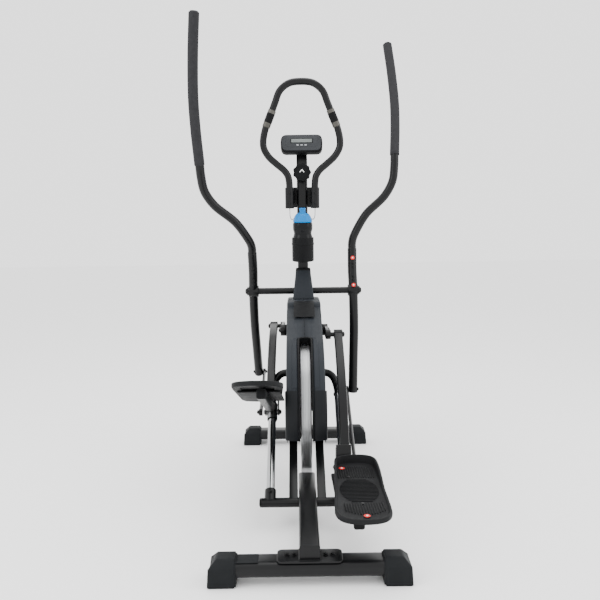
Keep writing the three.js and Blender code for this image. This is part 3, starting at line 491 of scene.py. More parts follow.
rise = (flywheel_z - RAIL_Z) / (flywheel_y - RAIL_Y)
fork = rounded(strip((RAIL_Y, RAIL_Z), (1042, RAIL_Z + rise * 702), 15), 5, 3)
spine = rounded([(-SPINE_HALF, SPINE_LOW), (SPINE_HALF, SPINE_LOW), (SPINE_HALF, SPINE_HIGH),
                 (-SPINE_HALF, SPINE_HIGH)], 7, 4)
weld = [bead([(x, 14, WELD_Z), (x, 73, WELD_Z)]) for x in (-SPINE_HALF, SPINE_HALF)]
weld.append(bead([(-SPINE_HALF, 13, WELD_Z), (SPINE_HALF, 13, WELD_Z)]))
post_low = rounded(strip((1168, 67), (1046, 430), 20), 8, 4)
post_high = rounded(strip((1046, 410), (1008, 673), 20), 8, 4)
plates = [foot_plate(0), foot_plate(FRONT)]
piece("frame_weldment",
      [plates[0][0][0], plates[1][0][0], slab(spine, 14, SPINE_END, 1.5, "y"), *weld,
       bar((-CROSS_HALF, RAIL_Y, RAIL_Z), (CROSS_HALF, RAIL_Y, RAIL_Z), 14, 1.5),
       slab(fork, STAY_IN, STAY_OUT, 1.5), slab(fork, -STAY_OUT, -STAY_IN, 1.5),
       slab(post_low, -28, 28, 1.5), slab(post_high, -20, 20, 1.5),
       block(1012, 1042, 400, 440, -STAY_OUT, STAY_OUT),
       disc(19, -30, 30, (0, pivot_y, pivot_z)),
       *bearing_mounts(-1), *bearing_mounts(1)],
      paint, "frame", ["main_frame"], crisp=30)
piece("foot_bolts", plates[0][1] + plates[1][1], paint, "frame")
label = [p + Vector((-160, 36)) for p in rounded([(-32, -24), (32, -24), (32, 24), (-32, 24)], 4)]
piece("blank_label", [slab(label, 59.8, 60.6, 0.2, "z")], cap, "frame")
for name, side in SIDES:
    plug = [disc(13.6, 137.6, 141, (0, RAIL_Y, RAIL_Z)), disc(10, 140, 143, (0, RAIL_Y, RAIL_Z))]
    piece(f"{name}_cross_tube_plug", plug, trim, "frame", side=side)
print("weldment done")

# %% [markdown]
# ## Rails and the brackets that hold their tops
#
# A chromed rod is set into a short black socket at the foot. A bent tube meets its top
# and turns in to the frame beside the flywheel.

# %% Rails
for name, side in SIDES:
    piece(f"{name}_rail", [bar(on_rail(RAIL_FOOT), on_rail(RAIL_TOP), RAIL_R, 1, 48)], chrome, "frame",
          [f"{name}_guide_rail"], side=side)
    screw = on_rail(26) + Vector((0, -sin(slope), cos(slope))) * 15
    piece(f"{name}_rail_socket", [bar(on_rail(0), on_rail(42), 17, 1.5),
                                  bar(on_rail(0), on_rail(-1), 16, 0.4)], paint, "frame", side=side)
    piece(f"{name}_socket_screw", hex_bolt(screw, (0, -sin(slope), cos(slope)), 4.4, 3.4), paint,
          "frame", side=side)
    bend = [on_rail(406.4), on_rail(414), (108, 683, 348), (99, 694, 373), (84, 701, 388),
            (66, 703, 393), (50, 703, 394)]
    collar = bar(on_rail(404), on_rail(409), 16, 1)
    piece(f"{name}_rail_bracket", [tube(bend, RAIL_R, 10), collar], paint, "frame", side=side)
    piece(f"{name}_bracket_nut", hex_bolt((104, 675, 362), (-0.2, -0.75, 0.62), 5, 4), paint,
          "frame", side=side)
    piece(f"{name}_bracket_grommet", [turned([(13, 61), (18, 61), (18, 63.5), (16, 64.6), (13, 64.6)],
                                             (0, 703, 393), closed=True)], trim, "frame", side=side)
print("rail length", round(RAIL_TOP - RAIL_FOOT), "mm")

# %% [markdown]
# ## The casing
#
# Two moulded halves meet on the centre line. Seen from the user's place it is a rounded
# band that runs over the flywheel, with a long slot that shows the rim. The outline is
# swept across with an eased side edge, then thickened inwards.

# %% Casing halves
SHELL_HALF, ROUND_EDGE, WHEEL_REACH, CREASE_RISE = 61.5, 9, 262, 1.6
SLOT_HALF, SLOT_FRAME, SLOT_FROM, SLOT_TO = 19, 24.5, 107, 189
UNDER_Y, UNDER_Z = 460, 236    # the underside is open ahead of and below these


def arc(radius, start, end, steps):
    return [Vector((flywheel_y + radius * cos(radians(start + (end - start) * i / steps)),
                    flywheel_z + radius * sin(radians(start + (end - start) * i / steps))))
            for i in range(steps + 1)]


def casing_half():
    band = arc(WHEEL_REACH, 105, 189, 42)
    front = rounded([(760, 150), (1000, 165), (1138, 240), (1138, 400), (1080, 590), (1050, 626),
                     (880, 626), (842, 622)], 16, 4)
    outline = anticlockwise(band + front)
    points, faces, n = [], [], len(outline)
    turn_in = [(0, 0)] + [(ROUND_EDGE * sin(a), ROUND_EDGE * (1 - cos(a)))
                          for a in (pi / 8, pi / 4, pi * 3 / 8, pi / 2)]
    for shift, depth in [(None, -CREASE_RISE), (None, -CREASE_RISE / 2)] + turn_in:
        for p, q in zip(outline, inset(outline, depth)):
            angle = atan2(p.y - flywheel_z, p.x - flywheel_y)
            open_band = abs(hypot(p.x - flywheel_y, p.y - flywheel_z) - WHEEL_REACH) < 1 \
                and not -1.2 < angle < radians(SLOT_FROM - 1)
            start = SLOT_FRAME + 0.3 if open_band else 0.3
            if shift is None:
                x = start if len(points) < n else (start + SHELL_HALF - ROUND_EDGE) / 2
            else:
                x = SHELL_HALF - ROUND_EDGE + shift
            points.append(Vector((x, q.x, q.y)))
    rows = len(points) // n
    low = [p.y < UNDER_Z and p.x > UNDER_Y for p in outline]
    for r in range(rows - 1):
        for i in range(n):
            j = (i + 1) % n
            if not (low[i] and low[j]):
                faces.append((r * n + i, r * n + j, r * n + n + j, r * n + n + i))
    faces.append(tuple(range((rows - 1) * n, rows * n)))
    return points, faces


for name, side in SIDES:
    half = piece(f"{name}_casing", [casing_half()], shell, "frame", [f"{name}_casing_shell"], side=side)
    wall = half.modifiers.new("wall", "SOLIDIFY")
    wall.thickness, wall.offset = 0.0026, -1
    piece(f"{name}_axle_cover", [disc(21, SHELL_HALF - 0.5, SHELL_HALF + 6.8, (0, flywheel_y, flywheel_z),
                                      edge=3)], lower, "frame", side=side)
    border = rounded([(520, 190), (980, 200), (1110, 262), (1110, 398), (1062, 560), (1030, 598),
                      (850, 596), (700, 506), (560, 430), (476, 330)], 46, 8)
    piece(f"{name}_side_panel", [slab(border, SHELL_HALF - 0.6, SHELL_HALF + 1.1, 0.9)], shell, "frame",
          side=side)
    ring = [(22, 61), (30, 61), (31, 62.2), (30, 63.4), (23, 64), (22, 63)]
    piece(f"{name}_crank_cover_ring", [turned(ring, (0, crank_y, crank_z), closed=True)], trim,
          "frame", side=side)
    inner, outer = arc(WHEEL_REACH + 0.3, 111, 153, 22), arc(WHEEL_REACH + 2.2, 111, 153, 22)
    panel = loft([[(27, *inner[i]), (43, *inner[i]), (42, *outer[i]), (28, *outer[i])]
                  for i in range(23)])
    piece(f"{name}_band_panel", [panel], shell, "frame", side=side)
    section = ((25.5, 0.2), (26.5, 2.4), (28, 3), (57, 3), (61.5, 1.2), (64.6, -2.6), (65.4, -7),
               (65.4, -52), (64.6, -55), (61, -56))
    skirts = [arc(WHEEL_REACH + drop, 155, 188.6, 24) for _, drop in section]
    cover = loft([[(x, *skirts[k][i]) for k, (x, _) in enumerate(section)] for i in range(25)])
    piece(f"{name}_lower_cover", [cover], lower, "frame", side=side)


def slot_frame():
    path = [(-1, SLOT_TO)] + [(-1, a) for a in range(185, 112, -4)]
    corner = [(-cos(t), 110 - 2.2 * sin(t)) for t in (0.3, 0.7, 1.1, 1.4)]
    run = path + corner + [(-c, a) for c, a in corner[::-1]] + [(1, a) for _, a in path[::-1]]
    rings = []
    for across_share, degrees in run:
        ring = []
        deep = 244 if abs(across_share) < 1 else 218
        for wide, radius in ((SLOT_FRAME, deep), (SLOT_FRAME, 266), (SLOT_FRAME - 1, 267),
                             (SLOT_HALF + 1, 267), (SLOT_HALF, 266), (SLOT_HALF, deep)):
            up = degrees - (wide - SLOT_HALF) * 0.22 * (1 if abs(across_share) < 1 else 0)
            p = arc(radius, up, up, 1)[0]
            ring.append((across_share * wide, p.x, p.y))
        rings.append(ring)
    return loft(rings)


piece("slot_border", [slot_frame()], trim, "frame", ["slot_surround"])
brow = loft([[(-w, y - 0.5, z), (0, y - 3.2, z), (w, y - 0.5, z), (w, y + 3, z), (-w, y + 3, z)]
             for w, y, z in ((36, 752, 581), (37, 758, 584), (37, 838, 620), (36, 860, 625.5))])
piece("brow_panel", [brow], trim, "frame")
print("casing width", 2 * SHELL_HALF, "mm")

# %% [markdown]
# ## The hood around the mast's foot
#
# A tapered hood closes the casing around the mast. Its back has a soft centre crease.

# %% Hood
LEAN = radians(5)


def mast_y(z):
    return pivot_y - (z - pivot_z) * tan(LEAN)


def round_rect(wide, deep, corner, steps=6):
    return rounded([(-wide, -deep), (wide, -deep), (wide, deep), (-wide, deep)], corner, steps)


def hood_ring(wide, y0, y1, z, crease):
    ring = []
    for p in round_rect(wide, (y1 - y0) / 2, 9):
        fold = crease * (1 - min(1, abs(p.x) / wide)) if p.y < 0 else 0
        ring.append((p.x, p.y + (y0 + y1) / 2 - fold, z))
    return ring


levels = [(38.6, 932, 1044, 626.6, 2), (40, 930, 1046, 628.5, 3), (27.6, 961, 1033, 733.5, 2),
          (26, 963, 1031, 736.6, 1)]
hollow = [(23.4, 967, 1027, 736.6, 0), (23.2, 968, 1026, 728, 0)]
rings = [hood_ring(*level) for level in levels + hollow]
piece("hood", [loft(rings)], shell, "frame", ["casing_neck"])
collar = [hood_ring(w, y0, y1, z, 1) for w, y0, y1, z in
          ((28.6, 960.5, 1034, 722), (29.2, 960, 1034, 724), (28, 961.5, 1033, 739), (27, 962.5, 1032, 741),
           (22.6, 968, 1026, 741), (22.6, 968, 1026, 722))]
piece("hood_collar", [loft(collar, True)], trim, "frame")
print("hood height", round(levels[-1][3] - levels[0][3]), "mm")

# %% [markdown]
# ## Flywheel and cranks
#
# The flywheel is turned steel with a deep rim. The cranks are flat bars on a shared
# axle, one forward and one back.

# %% Flywheel and its axle
wheel_at = pose_at(joints["flywheel_spin"]["pos_m"][1], joints["flywheel_spin"]["pos_m"][2])
rim = [(6.3, -17.5), (25, -17.5), (26, -16.5), (27, -6), (29, -5), (209, -5), (212, -7), (212, -16.5),
       (213, -17.5), (233, -17.5), (235.4, -16.6), (236, -15), (236, -9), (235.3, -8.4), (235.3, -7.6),
       (236, -7), (236, 7), (235.3, 7.6), (235.3, 8.4), (236, 9), (236, 15), (235.4, 16.6), (233, 17.5),
       (213, 17.5), (212, 16.5), (212, 7), (209, 5), (29, 5), (27, 6), (26, 16.5), (25, 17.5),
       (12.5, 17.5), (12.5, 28), (6.3, 28)]
piece("flywheel_disc", [turned(rim, sides=144, closed=True)], turned_steel, "flywheel_body",
      ["flywheel"], wheel_at, crisp=25)
axle_nuts = [part for s in (-1, 1) for part in hex_bolt((s * 55, 0, 0), (s, 0, 0), 7.5, 2.6, 1)]
piece("flywheel_axle_rod", [bar((-58, 0, 0), (58, 0, 0), 6)] + axle_nuts, zinc, "frame",
      ["flywheel_axle"], wheel_at)
print("flywheel radius", max(radius for radius, _ in rim), "mm")

# %% Cranks
CRANK_THROW, CRANK_TILT = 150, radians(-1.5)
crank_at = joints["crank_spin"]["pos_m"]
piece("crank_shaft", [bar((-84, 0, 0), (84, 0, 0), 10, 1.2)], zinc, "crank", ["crank_axle"],
      pose_at(crank_at[1], crank_at[2]))
for name, side in SIDES:
    place = pose_at(crank_at[1], crank_at[2], CRANK_TILT + (pi if side < 0 else 0))
    ends = [Vector((16.5 * cos(a), 16.5 * sin(a))) for a in [radians(-75 + 15 * k) for k in range(11)]]
    far = [Vector((-CRANK_THROW - p.x, -p.y)) for p in ends]
    piece(f"{name}_crank_bar", [slab(ends + far, 72, 84, 2), disc(21, 63, 86, edge=2),
                                disc(16, 72, 90, (0, -CRANK_THROW, 0), edge=1.5)],
          paint, "crank", [f"{name}_crank_arm"], place, side)
    piece(f"{name}_crank_bolts", hex_bolt((86, 0, 0), (1, 0, 0), 8, 4.5, 1.5)
          + [bar((88, -CRANK_THROW, 0), (100.5, -CRANK_THROW, 0), 8)], paint, "crank", at=place, side=side)
print("crank throw", CRANK_THROW, "mm")

# %% [markdown]
# ## Sliders, foot levers and pedals
#
# A bushed sleeve runs on each rail. The foot lever hangs on the sleeve's pins, rises in a
# long bow to the crank, and carries a moulded pedal on the stretch behind.

# %% Sliders and foot levers
def pin_of(side):
    return (crank_at[1] / MM - side * CRANK_THROW * cos(CRANK_TILT),
            crank_at[2] / MM - side * CRANK_THROW * sin(CRANK_TILT))


def lever_frame(name, side):
    axle = joints[f"{name}_foot_pivot"]["pos_m"]
    pin_y, pin_z = pin_of(side)
    pitch = atan2(pin_z - axle[2] / MM, pin_y - axle[1] / MM) - radians(51.5)
    return pose_at(axle[1], axle[2], pitch)


def splayed(solid, start=-60, share=0.032):
    for p in solid[0]:
        p.x += max(0, start - p.y) * share
    return solid


LEVER_X, LEVER_HALF = 115, 14
FORK_IN, FORK_OUT, CHEEK_THICK = 88.2, 134, 4.2
BOSS_Y, BOSS_Z, BOSS_OUT = 286.4, 360, 129.2
BOW = [(0, -391, 10.5), (0, -300, 10.5), (0, -210, 10.5), (0, -150, 10.5), (0, -92, 10.5),
       (0, -62, 10.5), (0, -46, 13), (0, -33, 28), (0, -23, 54), (0, -2, 100), (0, 38, 158),
       (0, 92, 222), (0, 148, 274), (0, 210, 317), (0, BOSS_Y, BOSS_Z)]
square = [(p.x, p.y) for p in round_rect(LEVER_HALF, LEVER_HALF, 6, 3)]


def foot_lever():
    path = [point + Vector((LEVER_X, 0, 0)) for point in spline(BOW, 5)]
    cheek = rounded([(-46, 30), (-24, 52), (6, 64), (14, 8), (12, -12), (-12, -12), (-17, 4)], 6, 4)
    web = rounded(strip((-36, 40), (-20, 80), 9), 3, 3)
    return [splayed(sweep(path, square, 0.8, (1, 0, 0))), slab(web, FORK_IN, FORK_OUT, 1),
            slab(cheek, FORK_IN, FORK_IN + CHEEK_THICK, 0.8),
            slab(cheek, FORK_OUT - CHEEK_THICK, FORK_OUT, 0.8),
            disc(17, 100.8, BOSS_OUT, (0, BOSS_Y, BOSS_Z), edge=1.5)]


for name, side in SIDES:
    axle = joints[f"{name}_foot_pivot"]["pos_m"]
    on_sleeve = pose_at(axle[1], axle[2], slope - pi / 2)
    sleeve = [(13, -31), (16.6, -31), (17, -30), (17, 30), (16.6, 31), (13, 31)]
    piece(f"{name}_sleeve", [turned(sleeve, (RAIL_X, 0, 0), "z", closed=True),
                             bar((88, 0, 0), (97, 0, 0), 7), disc(10, 92.8, 97),
                             bar((125.5, 0, 0), (140, 0, 0), 7), disc(10, 125.5, 129.2)],
          zinc, f"{name}_slide", [f"{name}_slider"], on_sleeve, side)
    bush = [(13, 31), (15, 31), (16, 31.8), (16, 33), (15, 34), (13, 34)]
    ends = [turned([(r, s * h) for r, h in bush], (RAIL_X, 0, 0), "z", closed=True) for s in (-1, 1)]
    piece(f"{name}_sleeve_bushes", ends, trim, f"{name}_slide", at=on_sleeve, side=side)
    place = lever_frame(name, side)
    piece(f"{name}_lever", foot_lever(), paint, f"{name}_foot_lever", [f"{name}_pedal_arm"], place, side)
    nuts = hex_bolt((FORK_OUT, 0, 0), (1, 0, 0), 7.5, 3.6, 1.2) \
        + hex_bolt((FORK_IN, 0, 0), (-1, 0, 0), 7.5, 5) \
        + hex_bolt((BOSS_OUT, BOSS_Y, BOSS_Z), (1, 0, 0), 9, 5.5)
    saddle = rounded([(66, -330), (190, -330), (190, -110), (66, -110)], 10, 4)
    piece(f"{name}_saddle", [splayed(slab(saddle, 23, 27.4, 0.8, "z"))], trim, f"{name}_foot_lever",
          at=place, side=side)
    piece(f"{name}_lever_nuts", nuts, paint, f"{name}_foot_lever", at=place, side=side)
    plug_outline = rounded([(103, -1), (127, -1), (127, 22), (103, 22)], 4, 3)
    plug = splayed(slab(plug_outline, -393.4, -389, 0.8, "y"))
    piece(f"{name}_lever_plug", [plug], trim, f"{name}_foot_lever", at=place, side=side)
print("stations on a foot lever:", len(BOW))

# %% Pedals
REAR, TOE, BASE, TRAY = -431, -52, 28.2, 36.2


def bezier(a, b, c, d, steps=9):
    a, b, c, d = (Vector(p) for p in (a, b, c, d))
    return [(1 - t) ** 3 * a + 3 * t * (1 - t) ** 2 * b + 3 * t * t * (1 - t) * c + t ** 3 * d
            for t in [i / steps for i in range(steps)]]


def sole():
    left = [Vector((55 + 21 * k / 12, REAR + 60 + (TOE - REAR - 120) * k / 12)) for k in range(11, 0, -1)]
    right = [Vector((201 + 2 * k / 12, REAR + 60 + (TOE - REAR - 120) * k / 12)) for k in range(1, 12)]
    return bezier((55, REAR + 60), (57, REAR + 14), (84, REAR), (126, REAR)) \
        + bezier((126, REAR), (170, REAR), (198, REAR + 14), (201, REAR + 60)) + right \
        + bezier((203, TOE - 60), (203, TOE - 16), (186, TOE), (140, TOE)) \
        + bezier((140, TOE), (96, TOE), (76, TOE - 16), (76, TOE - 60)) + left


def rim_top(y):
    share = min(1, max(0, (y - REAR) / (TOE - REAR) - 0.45) / 0.3)
    return BASE + 14 + 20 * share * share * (3 - 2 * share)


def tray():
    outline = sole()
    rings = []
    for depth, level in ((26, 4), (24.5, 0.6), (23.5, 0), (3, 0), (1, 0.8), (0, 3)):
        rings.append([(p.x, p.y, BASE + level) for p in inset(outline, depth)])
    for depth, fall in ((0, 2.4), (0.7, 0.7), (2.4, 0), (4.4, 0), (6.1, 0.7), (7, 2.6)):
        rings.append([(p.x, p.y, rim_top(q.y) - fall) for p, q in zip(inset(outline, depth), outline)])
    for depth, level in ((8, 1.6), (10.5, 0)):
        rings.append([(p.x, p.y, TRAY + level) for p in inset(outline, depth)])
    return splayed(loft(rings))


def rib(x0, x1, y0, y1):
    outline = rounded([(x0, y0), (x1, y0), (x1, y1), (x0, y1)], 1.6, 2)
    return splayed(slab(outline, TRAY - 1, TRAY + 2.4, 0.8, "z"))


def ribs():
    lines = []
    for k in range(-7, 8):
        x, bulge = 134 + k * 7, 1 - (k / 9) ** 2
        lines.append(rib(x - 1.5, x + 1.5, -168, -88 - 14 * (1 - bulge) * 2))
        lines.append(rib(x - 1.5, x + 1.5, -392 + 34 * (1 - bulge), -326))
    for k in range(-8, 9):
        half = 52 * (1 - (k / 9.5) ** 2) ** 0.5
        lines.append(rib(132 - half, 132 + half, -248 + k * 8.4 - 1.6, -248 + k * 8.4 + 1.6))
    return lines


for name, side in SIDES:
    place = lever_frame(name, side)
    piece(f"{name}_tread", [tray()] + ribs(), tread, f"{name}_foot_lever", [f"{name}_pedal"], place, side,
          crisp=40)
    heads = [splayed(disc(5, TRAY - 1, TRAY + 2.8, (x, y, 0), "z", 1))
             for x, y in ((112, -162), (130, -331))]
    piece(f"{name}_tread_screws", heads, paint, f"{name}_foot_lever", at=place, side=side)
print("pedal length", TOE - REAR, "mm")

# %% [markdown]
# ## Swing arms
#
# Each arm is two tubes bolted together above the pivot. The upper one bends outwards and
# wears a long foam sleeve; the lower one drives the pedal through a thin rod.

# %% Arms and link rods
ARM_LOW_Y, ARM_LOW_Z, PIVOT_HALF = 90, -376, 212
STICKER_R, STICKER_MARK_R = 7.5, 2.6
LOWER = [(188, 94, -388), (191, 60, -262), (194, 29, -140), (193, 0, 0), (190.5, -13, 80),
         (190.9, -24, 143), (191, -27, 160)]
UPPER = [(191, -26.9, 158), (191.1, -30, 177), (195, -38, 197), (208, -48.5, 225), (246, -67, 284),
         (317, -87, 350), (347, -104, 403), (354, -121, 458), (354.8, -129.4, 488), (355.3, -131, 500)]
GRIP = [(355.3, -131.1, 496), (355.9, -132.5, 513), (363, -122, 610), (367, -109, 720),
        (362, -95, 860), (352, -82, 994)]
arm_at = joints["left_arm_swing"]["pos_m"]
dome = [(0.01, 13), (4, 12.6), (7, 12), (10, 10), (11, 8.4), (11, 6), (15, 5.4), (16, 4), (16, 0.4),
        (0.01, 0.4)]


def arm_stickers(body, place):
    for k, (v, x) in enumerate(((118, 191), (14, 193))):
        y = -9 - v * 0.13 - 17
        piece(f"arm_sticker_{k}", [disc(STICKER_R, y - 1, y + 2, (x, 0, v), "y", 0.4)], red,
              body, at=place)
        piece(f"arm_sticker_mark_{k}", [disc(STICKER_MARK_R, y - 1.4, y + 2, (x, 0, v), "y", 0.2)], white,
              body, at=place)


def pedal_stickers(place):
    for k, (x, y) in enumerate(((99, -101), (133, -400))):
        for word, look, r in (("sticker", red, 8.5), ("mark", white, 2.8)):
            spot = splayed(disc(r, TRAY + 2, TRAY + 2.6 + (8 - r) * 0.08, (x, y, 0), "z", 0.3))
            piece(f"pedal_{word}_{k}", [spot], look, "right_foot_lever", at=place)


for name, side in SIDES:
    low = joints[f"{name}_link_pivot"]["pos_m"]
    swing = atan2(low[2] - arm_at[2], low[1] - arm_at[1]) - atan2(ARM_LOW_Z, ARM_LOW_Y)
    place = pose_at(arm_at[1], arm_at[2], swing)
    body = f"{name}_swing_arm"
    piece(f"{name}_drop_tube", [tube(LOWER, 17.5, 12, 1.5, 36), disc(22, 172, 211, edge=2),
                                bar((158, ARM_LOW_Y, ARM_LOW_Z), (180, ARM_LOW_Y, ARM_LOW_Z), 5)],
          paint, body, [f"{name}_lower_arm"], place, side)
    piece(f"{name}_handle_tube", [tube(UPPER, 15.9, 12, 1, 36)], paint, body,
          [f"{name}_upper_handle"], place, side)
    piece(f"{name}_foam_sleeve", [tube(GRIP, 18, 16, 5, 36)], foam, body, [f"{name}_foam_grip"],
          place, side)
    piece(f"{name}_hub_cap", [turned([(r, PIVOT_HALF + h) for r, h in dome], sides=40)], paint, body,
          [f"{name}_shaft_cap"], place, side)
    bolts = []
    for v in (36, 50, 86, 100):
        bolts += hex_bolt((191, -6 - v * 0.12 - 17, v), (0, -1, 0.1), 4.6, 3.4, 1)
    piece(f"{name}_arm_bolts", bolts + hex_bolt((204, ARM_LOW_Y, ARM_LOW_Z), (1, 0, 0), 6.5, 4), paint,
          body, at=place, side=side)
    axle = joints[f"{name}_foot_pivot"]["pos_m"]
    rear_y, rear_z = (axle[1] - low[1]) / MM, (axle[2] - low[2]) / MM
    link_at = pose_at(low[1], low[2])
    piece(f"{name}_link", [bar((165, 0, 0), (149, rear_y, rear_z), 6), disc(13, 160, 170, edge=1.5),
                           disc(12, 143.5, 155, (0, rear_y, rear_z), edge=1.5)],
          paint, f"{name}_link", [f"{name}_link_rod"], link_at, side)
    piece(f"{name}_link_nuts", hex_bolt((155, rear_y, rear_z), (1, 0, 0), 6.5, 4.5)
          + hex_bolt((160, 0, 0), (-1, 0, 0), 6, 4), paint, f"{name}_link", at=link_at, side=side)
    if side > 0:
        arm_stickers(body, place)
        pedal_stickers(lever_frame(name, side))
piece("pivot_rod", [bar((-PIVOT_HALF, 0, 0), (PIVOT_HALF, 0, 0), 12.7, 1, 40)], paint, "frame",
      ["pivot_shaft"], pose_at(arm_at[1], arm_at[2]))
print("arm swing pieces:", len(UPPER), "stations on the handle")

# %% [markdown]
# ## Mast, clamp and fixed handlebar
#
# A square tube leans back a few degrees. A bracket holds two upright sleeves in front of
# it, and one bent tube in the shape of a lyre stands in them.

# %% Mast and clamp
CONSOLE_Z, CONSOLE_TILT, CONSOLE_BACK = 1201, radians(68), 30.3
console_y = mast_y(CONSOLE_Z) - 6
face_way = Vector((0, -sin(CONSOLE_TILT), cos(CONSOLE_TILT)))
MAST_BASE = 692


def along_mast(z):
    return pose_at(back + mast_y(z) * MM, z * MM, LEAN)


def mast_tube():
    up = Vector((0, -sin(LEAN), cos(LEAN)))
    console = Vector((0, console_y - mast_y(MAST_BASE), CONSOLE_Z - MAST_BASE))
    turn_back = Matrix.Rotation(LEAN, 3, "X")
    rings = [[(p.x, p.y, 0) for p in round_rect(20, 20, 12)]]
    top = []
    for x, y, _ in rings[0]:
        foot = turn_back @ Vector((x, y, 0))
        reach = (-CONSOLE_BACK - (foot - console).dot(face_way)) / up.dot(face_way)
        top.append((x, y, reach))
    return loft(rings + [top])


piece("mast_tube", [mast_tube()], paint, "frame", ["mast"], along_mast(MAST_BASE))
CLAMP_Z, SLEEVE_X, SLEEVE_Y = 1008, 47, -47
sleeve = [(13, -38), (15.5, -38), (16.5, -37), (16.5, 37), (15.5, 38), (13, 38)]
parts = [slab(rounded([(-56, -38), (56, -38), (56, 38), (-56, 38)], 8, 4), 20.3, 27, 1.2, "y")]
for s in (-1, 1):
    parts += [turned(sleeve, (s * SLEEVE_X, SLEEVE_Y, 0), "z", closed=True),
              slab(rounded([(s * SLEEVE_X - 9, SLEEVE_Y + 14), (s * SLEEVE_X + 9, SLEEVE_Y + 14),
                            (s * SLEEVE_X + 9, 24), (s * SLEEVE_X - 9, 24)], 2, 3), -30, 30, 1.5, "z")]
clamp_at = along_mast(CLAMP_Z)
piece("handlebar_bracket", parts, paint, "frame", ["handlebar_clamp"], clamp_at)
pins = [bolt for s in (-1, 1) for z in (-18, 18)
        for bolt in hex_bolt((s * SLEEVE_X, SLEEVE_Y - 16, z), (0, -1, 0), 4.6, 3.6, 1)]
piece("bracket_bolts", pins, paint, "frame", at=clamp_at)
print("mast leans", round(LEAN * 180 / pi), "degrees")

# %% Fixed handlebar, pulse plates and their leads
BAR_R, PLATE_R, BAND_R, LEAD_R = 12.7, 14.4, 14.9, 1.6
LYRE = [(47, -29), (47, 20), (47.5, 55), (52, 80), (66, 101), (92, 123), (121, 150), (138, 180),
        (140, 208), (131, 250), (115.6, 288), (94.5, 341), (77, 382), (44, 408)]
route = [(x, SLEEVE_Y, z) for x, z in LYRE] + [(0, SLEEVE_Y, 414)]
route += [(-x, SLEEVE_Y, z) for x, z in LYRE[::-1]]
piece("lyre_bar", [tube(route, BAR_R, 8, 1, 32)], paint, "frame", ["fixed_handlebar"], clamp_at)
for name, side in SIDES:
    plate = [(x, SLEEVE_Y, z)
             for x, z in ((129.5, 254), (122.5, 271), (115.6, 288), (109, 304), (104, 316))]
    piece(f"{name}_pulse_plate", [tube(plate, PLATE_R, 6, 2.5, 32)], pulse_metal, "frame",
          [f"{name}_pulse_sensor"], clamp_at, side)
    piece(f"{name}_pulse_band", [tube(plate[1:4], BAND_R, 3, 1, 32)], trim, "frame", at=clamp_at, side=side)
    lead = [(47, -47, -32), (47, -47, -52), (46, -43, -68), (41, -27, -80), (31, -8, -78),
            (25, -3, -76), (20.2, -3, -76)]
    piece(f"{name}_lead", [tube(lead, LEAD_R, 8, 0.3, 10)], lead_grey, "frame", [f"{name}_pulse_lead"],
          clamp_at, side)
print("handlebar stations:", len(route))

# %% [markdown]
# ## Console and tension knob
#
# The console is a rounded housing with a raised lighter face, a display strip and three
# keys. No pockets are cut for the keys: they run through the face and into the shell.
# Below it the tension knob has lobes for grip and a plain pointer.

# %% Console
console_at = pose_at(back + console_y * MM, CONSOLE_Z * MM, CONSOLE_TILT)


def console_outline(wide, tall):
    return rounded([(-wide * 0.94, -tall), (wide * 0.94, -tall), (wide, tall * 0.1), (wide * 0.93, tall),
                    (-wide * 0.93, tall), (-wide, tall * 0.1)], tall * 0.55, 8)


piece("console_shell", [slab(console_outline(79, 36.5), -16, 14.5, 7, "z"),
                        slab(round_rect(59, 27, 14), -30, -12, 3, "z")],
      trim, "frame", at=console_at)
piece("console_bezel", [slab(console_outline(74, 31.5), 13, 15.8, 1.4, "z")], console_grey, "frame",
      ["console_housing"], console_at)
face = [p + Vector((0, 2.5)) for p in console_outline(61, 21)]
piece("console_face", [slab(face, 15, 16.4, 0.5, "z")], console_grey, "frame", at=console_at)
window = [p + Vector((0, 7)) for p in round_rect(41, 9.4, 3, 4)]
piece("display_frame", [slab(window, 16, 17, 0.5, "z")], trim, "frame", at=console_at)
glass = [p + Vector((0, 7)) for p in round_rect(38, 7, 2, 4)]
piece("display", [slab(glass, 16.2, 17.4, 0.3, "z")], screen, "frame", ["console_screen"], console_at)
KEY_PITCH, KEY_DROP, KEY_FROM, KEY_TO = 15, -11, 11, 18.2
for k, name in enumerate(("left", "middle", "right")):
    key = [p + Vector(((k - 1) * KEY_PITCH, KEY_DROP)) for p in round_rect(4.4, 2.4, 1.6, 4)]
    piece(f"{name}_key", [slab(key, KEY_FROM, KEY_TO, 0.6, "z")], key_grey, f"button_{name}",
          [f"console_button_{name}"], console_at)
print("console centre at", CONSOLE_Z, "mm")

# %% Tension knob
knob_at = joints["tension_turn"]["pos_m"]
KNOB_R, LOBES, LOBE_DEEP = 34, 9, 1.8
lobed = []
for a in [2 * pi * i / 144 for i in range(144)]:
    reach = KNOB_R - LOBE_DEEP + LOBE_DEEP * cos(LOBES * a)
    lobed.append(Vector((cos(a) * reach, sin(a) * reach)))
place = pose_at(knob_at[1], knob_at[2], LEAN)
piece("knob", [slab(lobed, -19.4, -4, 2.5, "y"), disc(26, -5, -0.2, axis="y"),
               turned([(22, -19), (22.4, -20), (24.6, -20), (25, -19)], axis="y", closed=True)],
      trim, "knob", ["tension_knob"], place)
caret = [Vector(p) for p in ((-9, 2), (0, 12), (9, 2), (7, 0), (0, 8), (-7, 0))]
bars = [slab([caret[i] for i in group], -20.4, -19, 0.2, "y") for group in ((0, 5, 4, 1), (1, 4, 3, 2))]
piece("knob_pointer", bars, white, "knob", at=place)
print("knob lobes:", LOBES)

# %% [markdown]
# ## Bottle and cage
#
# A cup on the mast holds a sports bottle with a waist for the fingers and a bright cap.

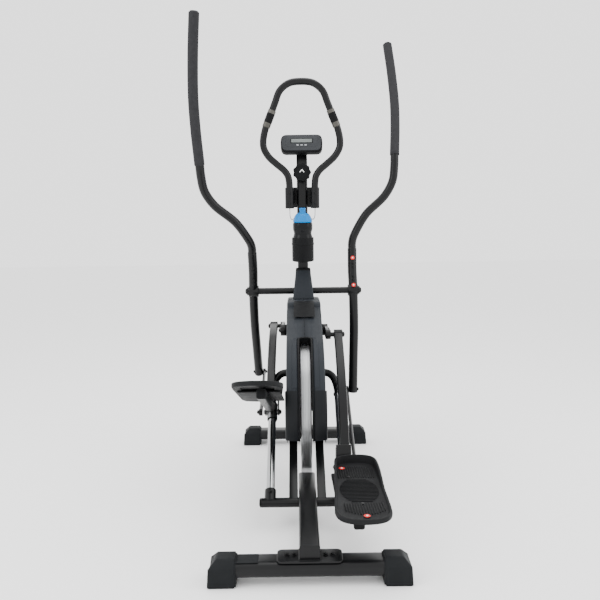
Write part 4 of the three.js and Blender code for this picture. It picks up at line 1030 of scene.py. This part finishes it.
# %% Bottle
CAGE_Z, CAGE_OUT = 770, 66
bottle_at = pose_at(back + (mast_y(CAGE_Z) - CAGE_OUT) * MM, CAGE_Z * MM, LEAN)
cup = [(0.01, 0), (37, 0), (39.4, 1.2), (40.5, 4), (40.5, 86), (40, 88), (37.8, 88), (37.3, 86),
       (37.3, 6.4), (0.01, 5.6)]
piece("bottle_cup", [turned(cup, axis="z", sides=64),
                     slab(rounded([(-14, 36), (14, 36), (14, 45.4), (-14, 45.4)], 2, 3), 8, 84, 1, "z"),
                     turned([(40, 60), (41.6, 62), (41.6, 68), (40, 70)], axis="z", sides=64, closed=True)],
      trim, "frame", ["bottle_cage"], bottle_at)
flask = [(0.01, 6.2), (31, 6.2), (35, 8), (36.5, 11), (36.5, 84), (36, 90), (34, 97), (32.4, 104),
         (34, 111), (36, 117), (36.5, 122), (36.5, 137), (35.4, 142), (33, 144.4), (0.01, 144.4)]
piece("flask", [turned(flask, axis="z", sides=64)], bottle_black, "bottle_body", ["bottle"], bottle_at)
lid = [(0.01, 144.8), (34, 144.8), (35.5, 146), (35.5, 152), (33.5, 155), (32.2, 160.5), (30, 166.5),
       (24.5, 174), (18.5, 178), (12, 179.4), (10.5, 181), (10.5, 191), (12, 192.2), (12.4, 195), (11, 197),
       (0.01, 197)]
piece("flask_lid", [turned(lid, axis="z", sides=64)], blue, "bottle_top", ["bottle_cap"], bottle_at)
print("bottle height", round(lid[-1][1] - flask[0][1]), "mm")

# %% [markdown]
# ## Engineered parts that already look right
#
# What is left is inside the casing or already has its true shape. Each keeps its mesh,
# gets eased edges from a modifier, and takes the finish of its slot.

# %% Finish the remaining parts
by_slot = {"black_paint": paint, "grip_foam": foam, "casing_plastic": shell, "trim_plastic": trim,
           "cap_plastic": cap, "pedal_plastic": tread, "chrome": chrome, "steel": zinc,
           "flywheel_steel": turned_steel, "rubber": rubber, "console_plastic": console_grey,
           "screen": screen, "blue_plastic": blue, "black_gloss": bottle_black}
slot_of = {part["node"]: part["material_slot"] for part in frame["record"]["subparts"]}
for name, node in frame["nodes"].items():
    if name in made:
        continue
    node.data.materials.clear()
    node.data.materials.append(looks[by_slot[slot_of[name]]][0])
    ease = node.modifiers.new("eased edges", "BEVEL")
    ease.width, ease.segments, ease.limit_method = 0.0004, 2, "ANGLE"
    for face in node.data.polygons:
        face.use_smooth = True
    node.data.set_sharp_from_angle(angle=radians(30))
print("kept as engineered:", sorted(set(frame["nodes"]) - made))

# %% Update the scene
bpy.context.view_layer.update()
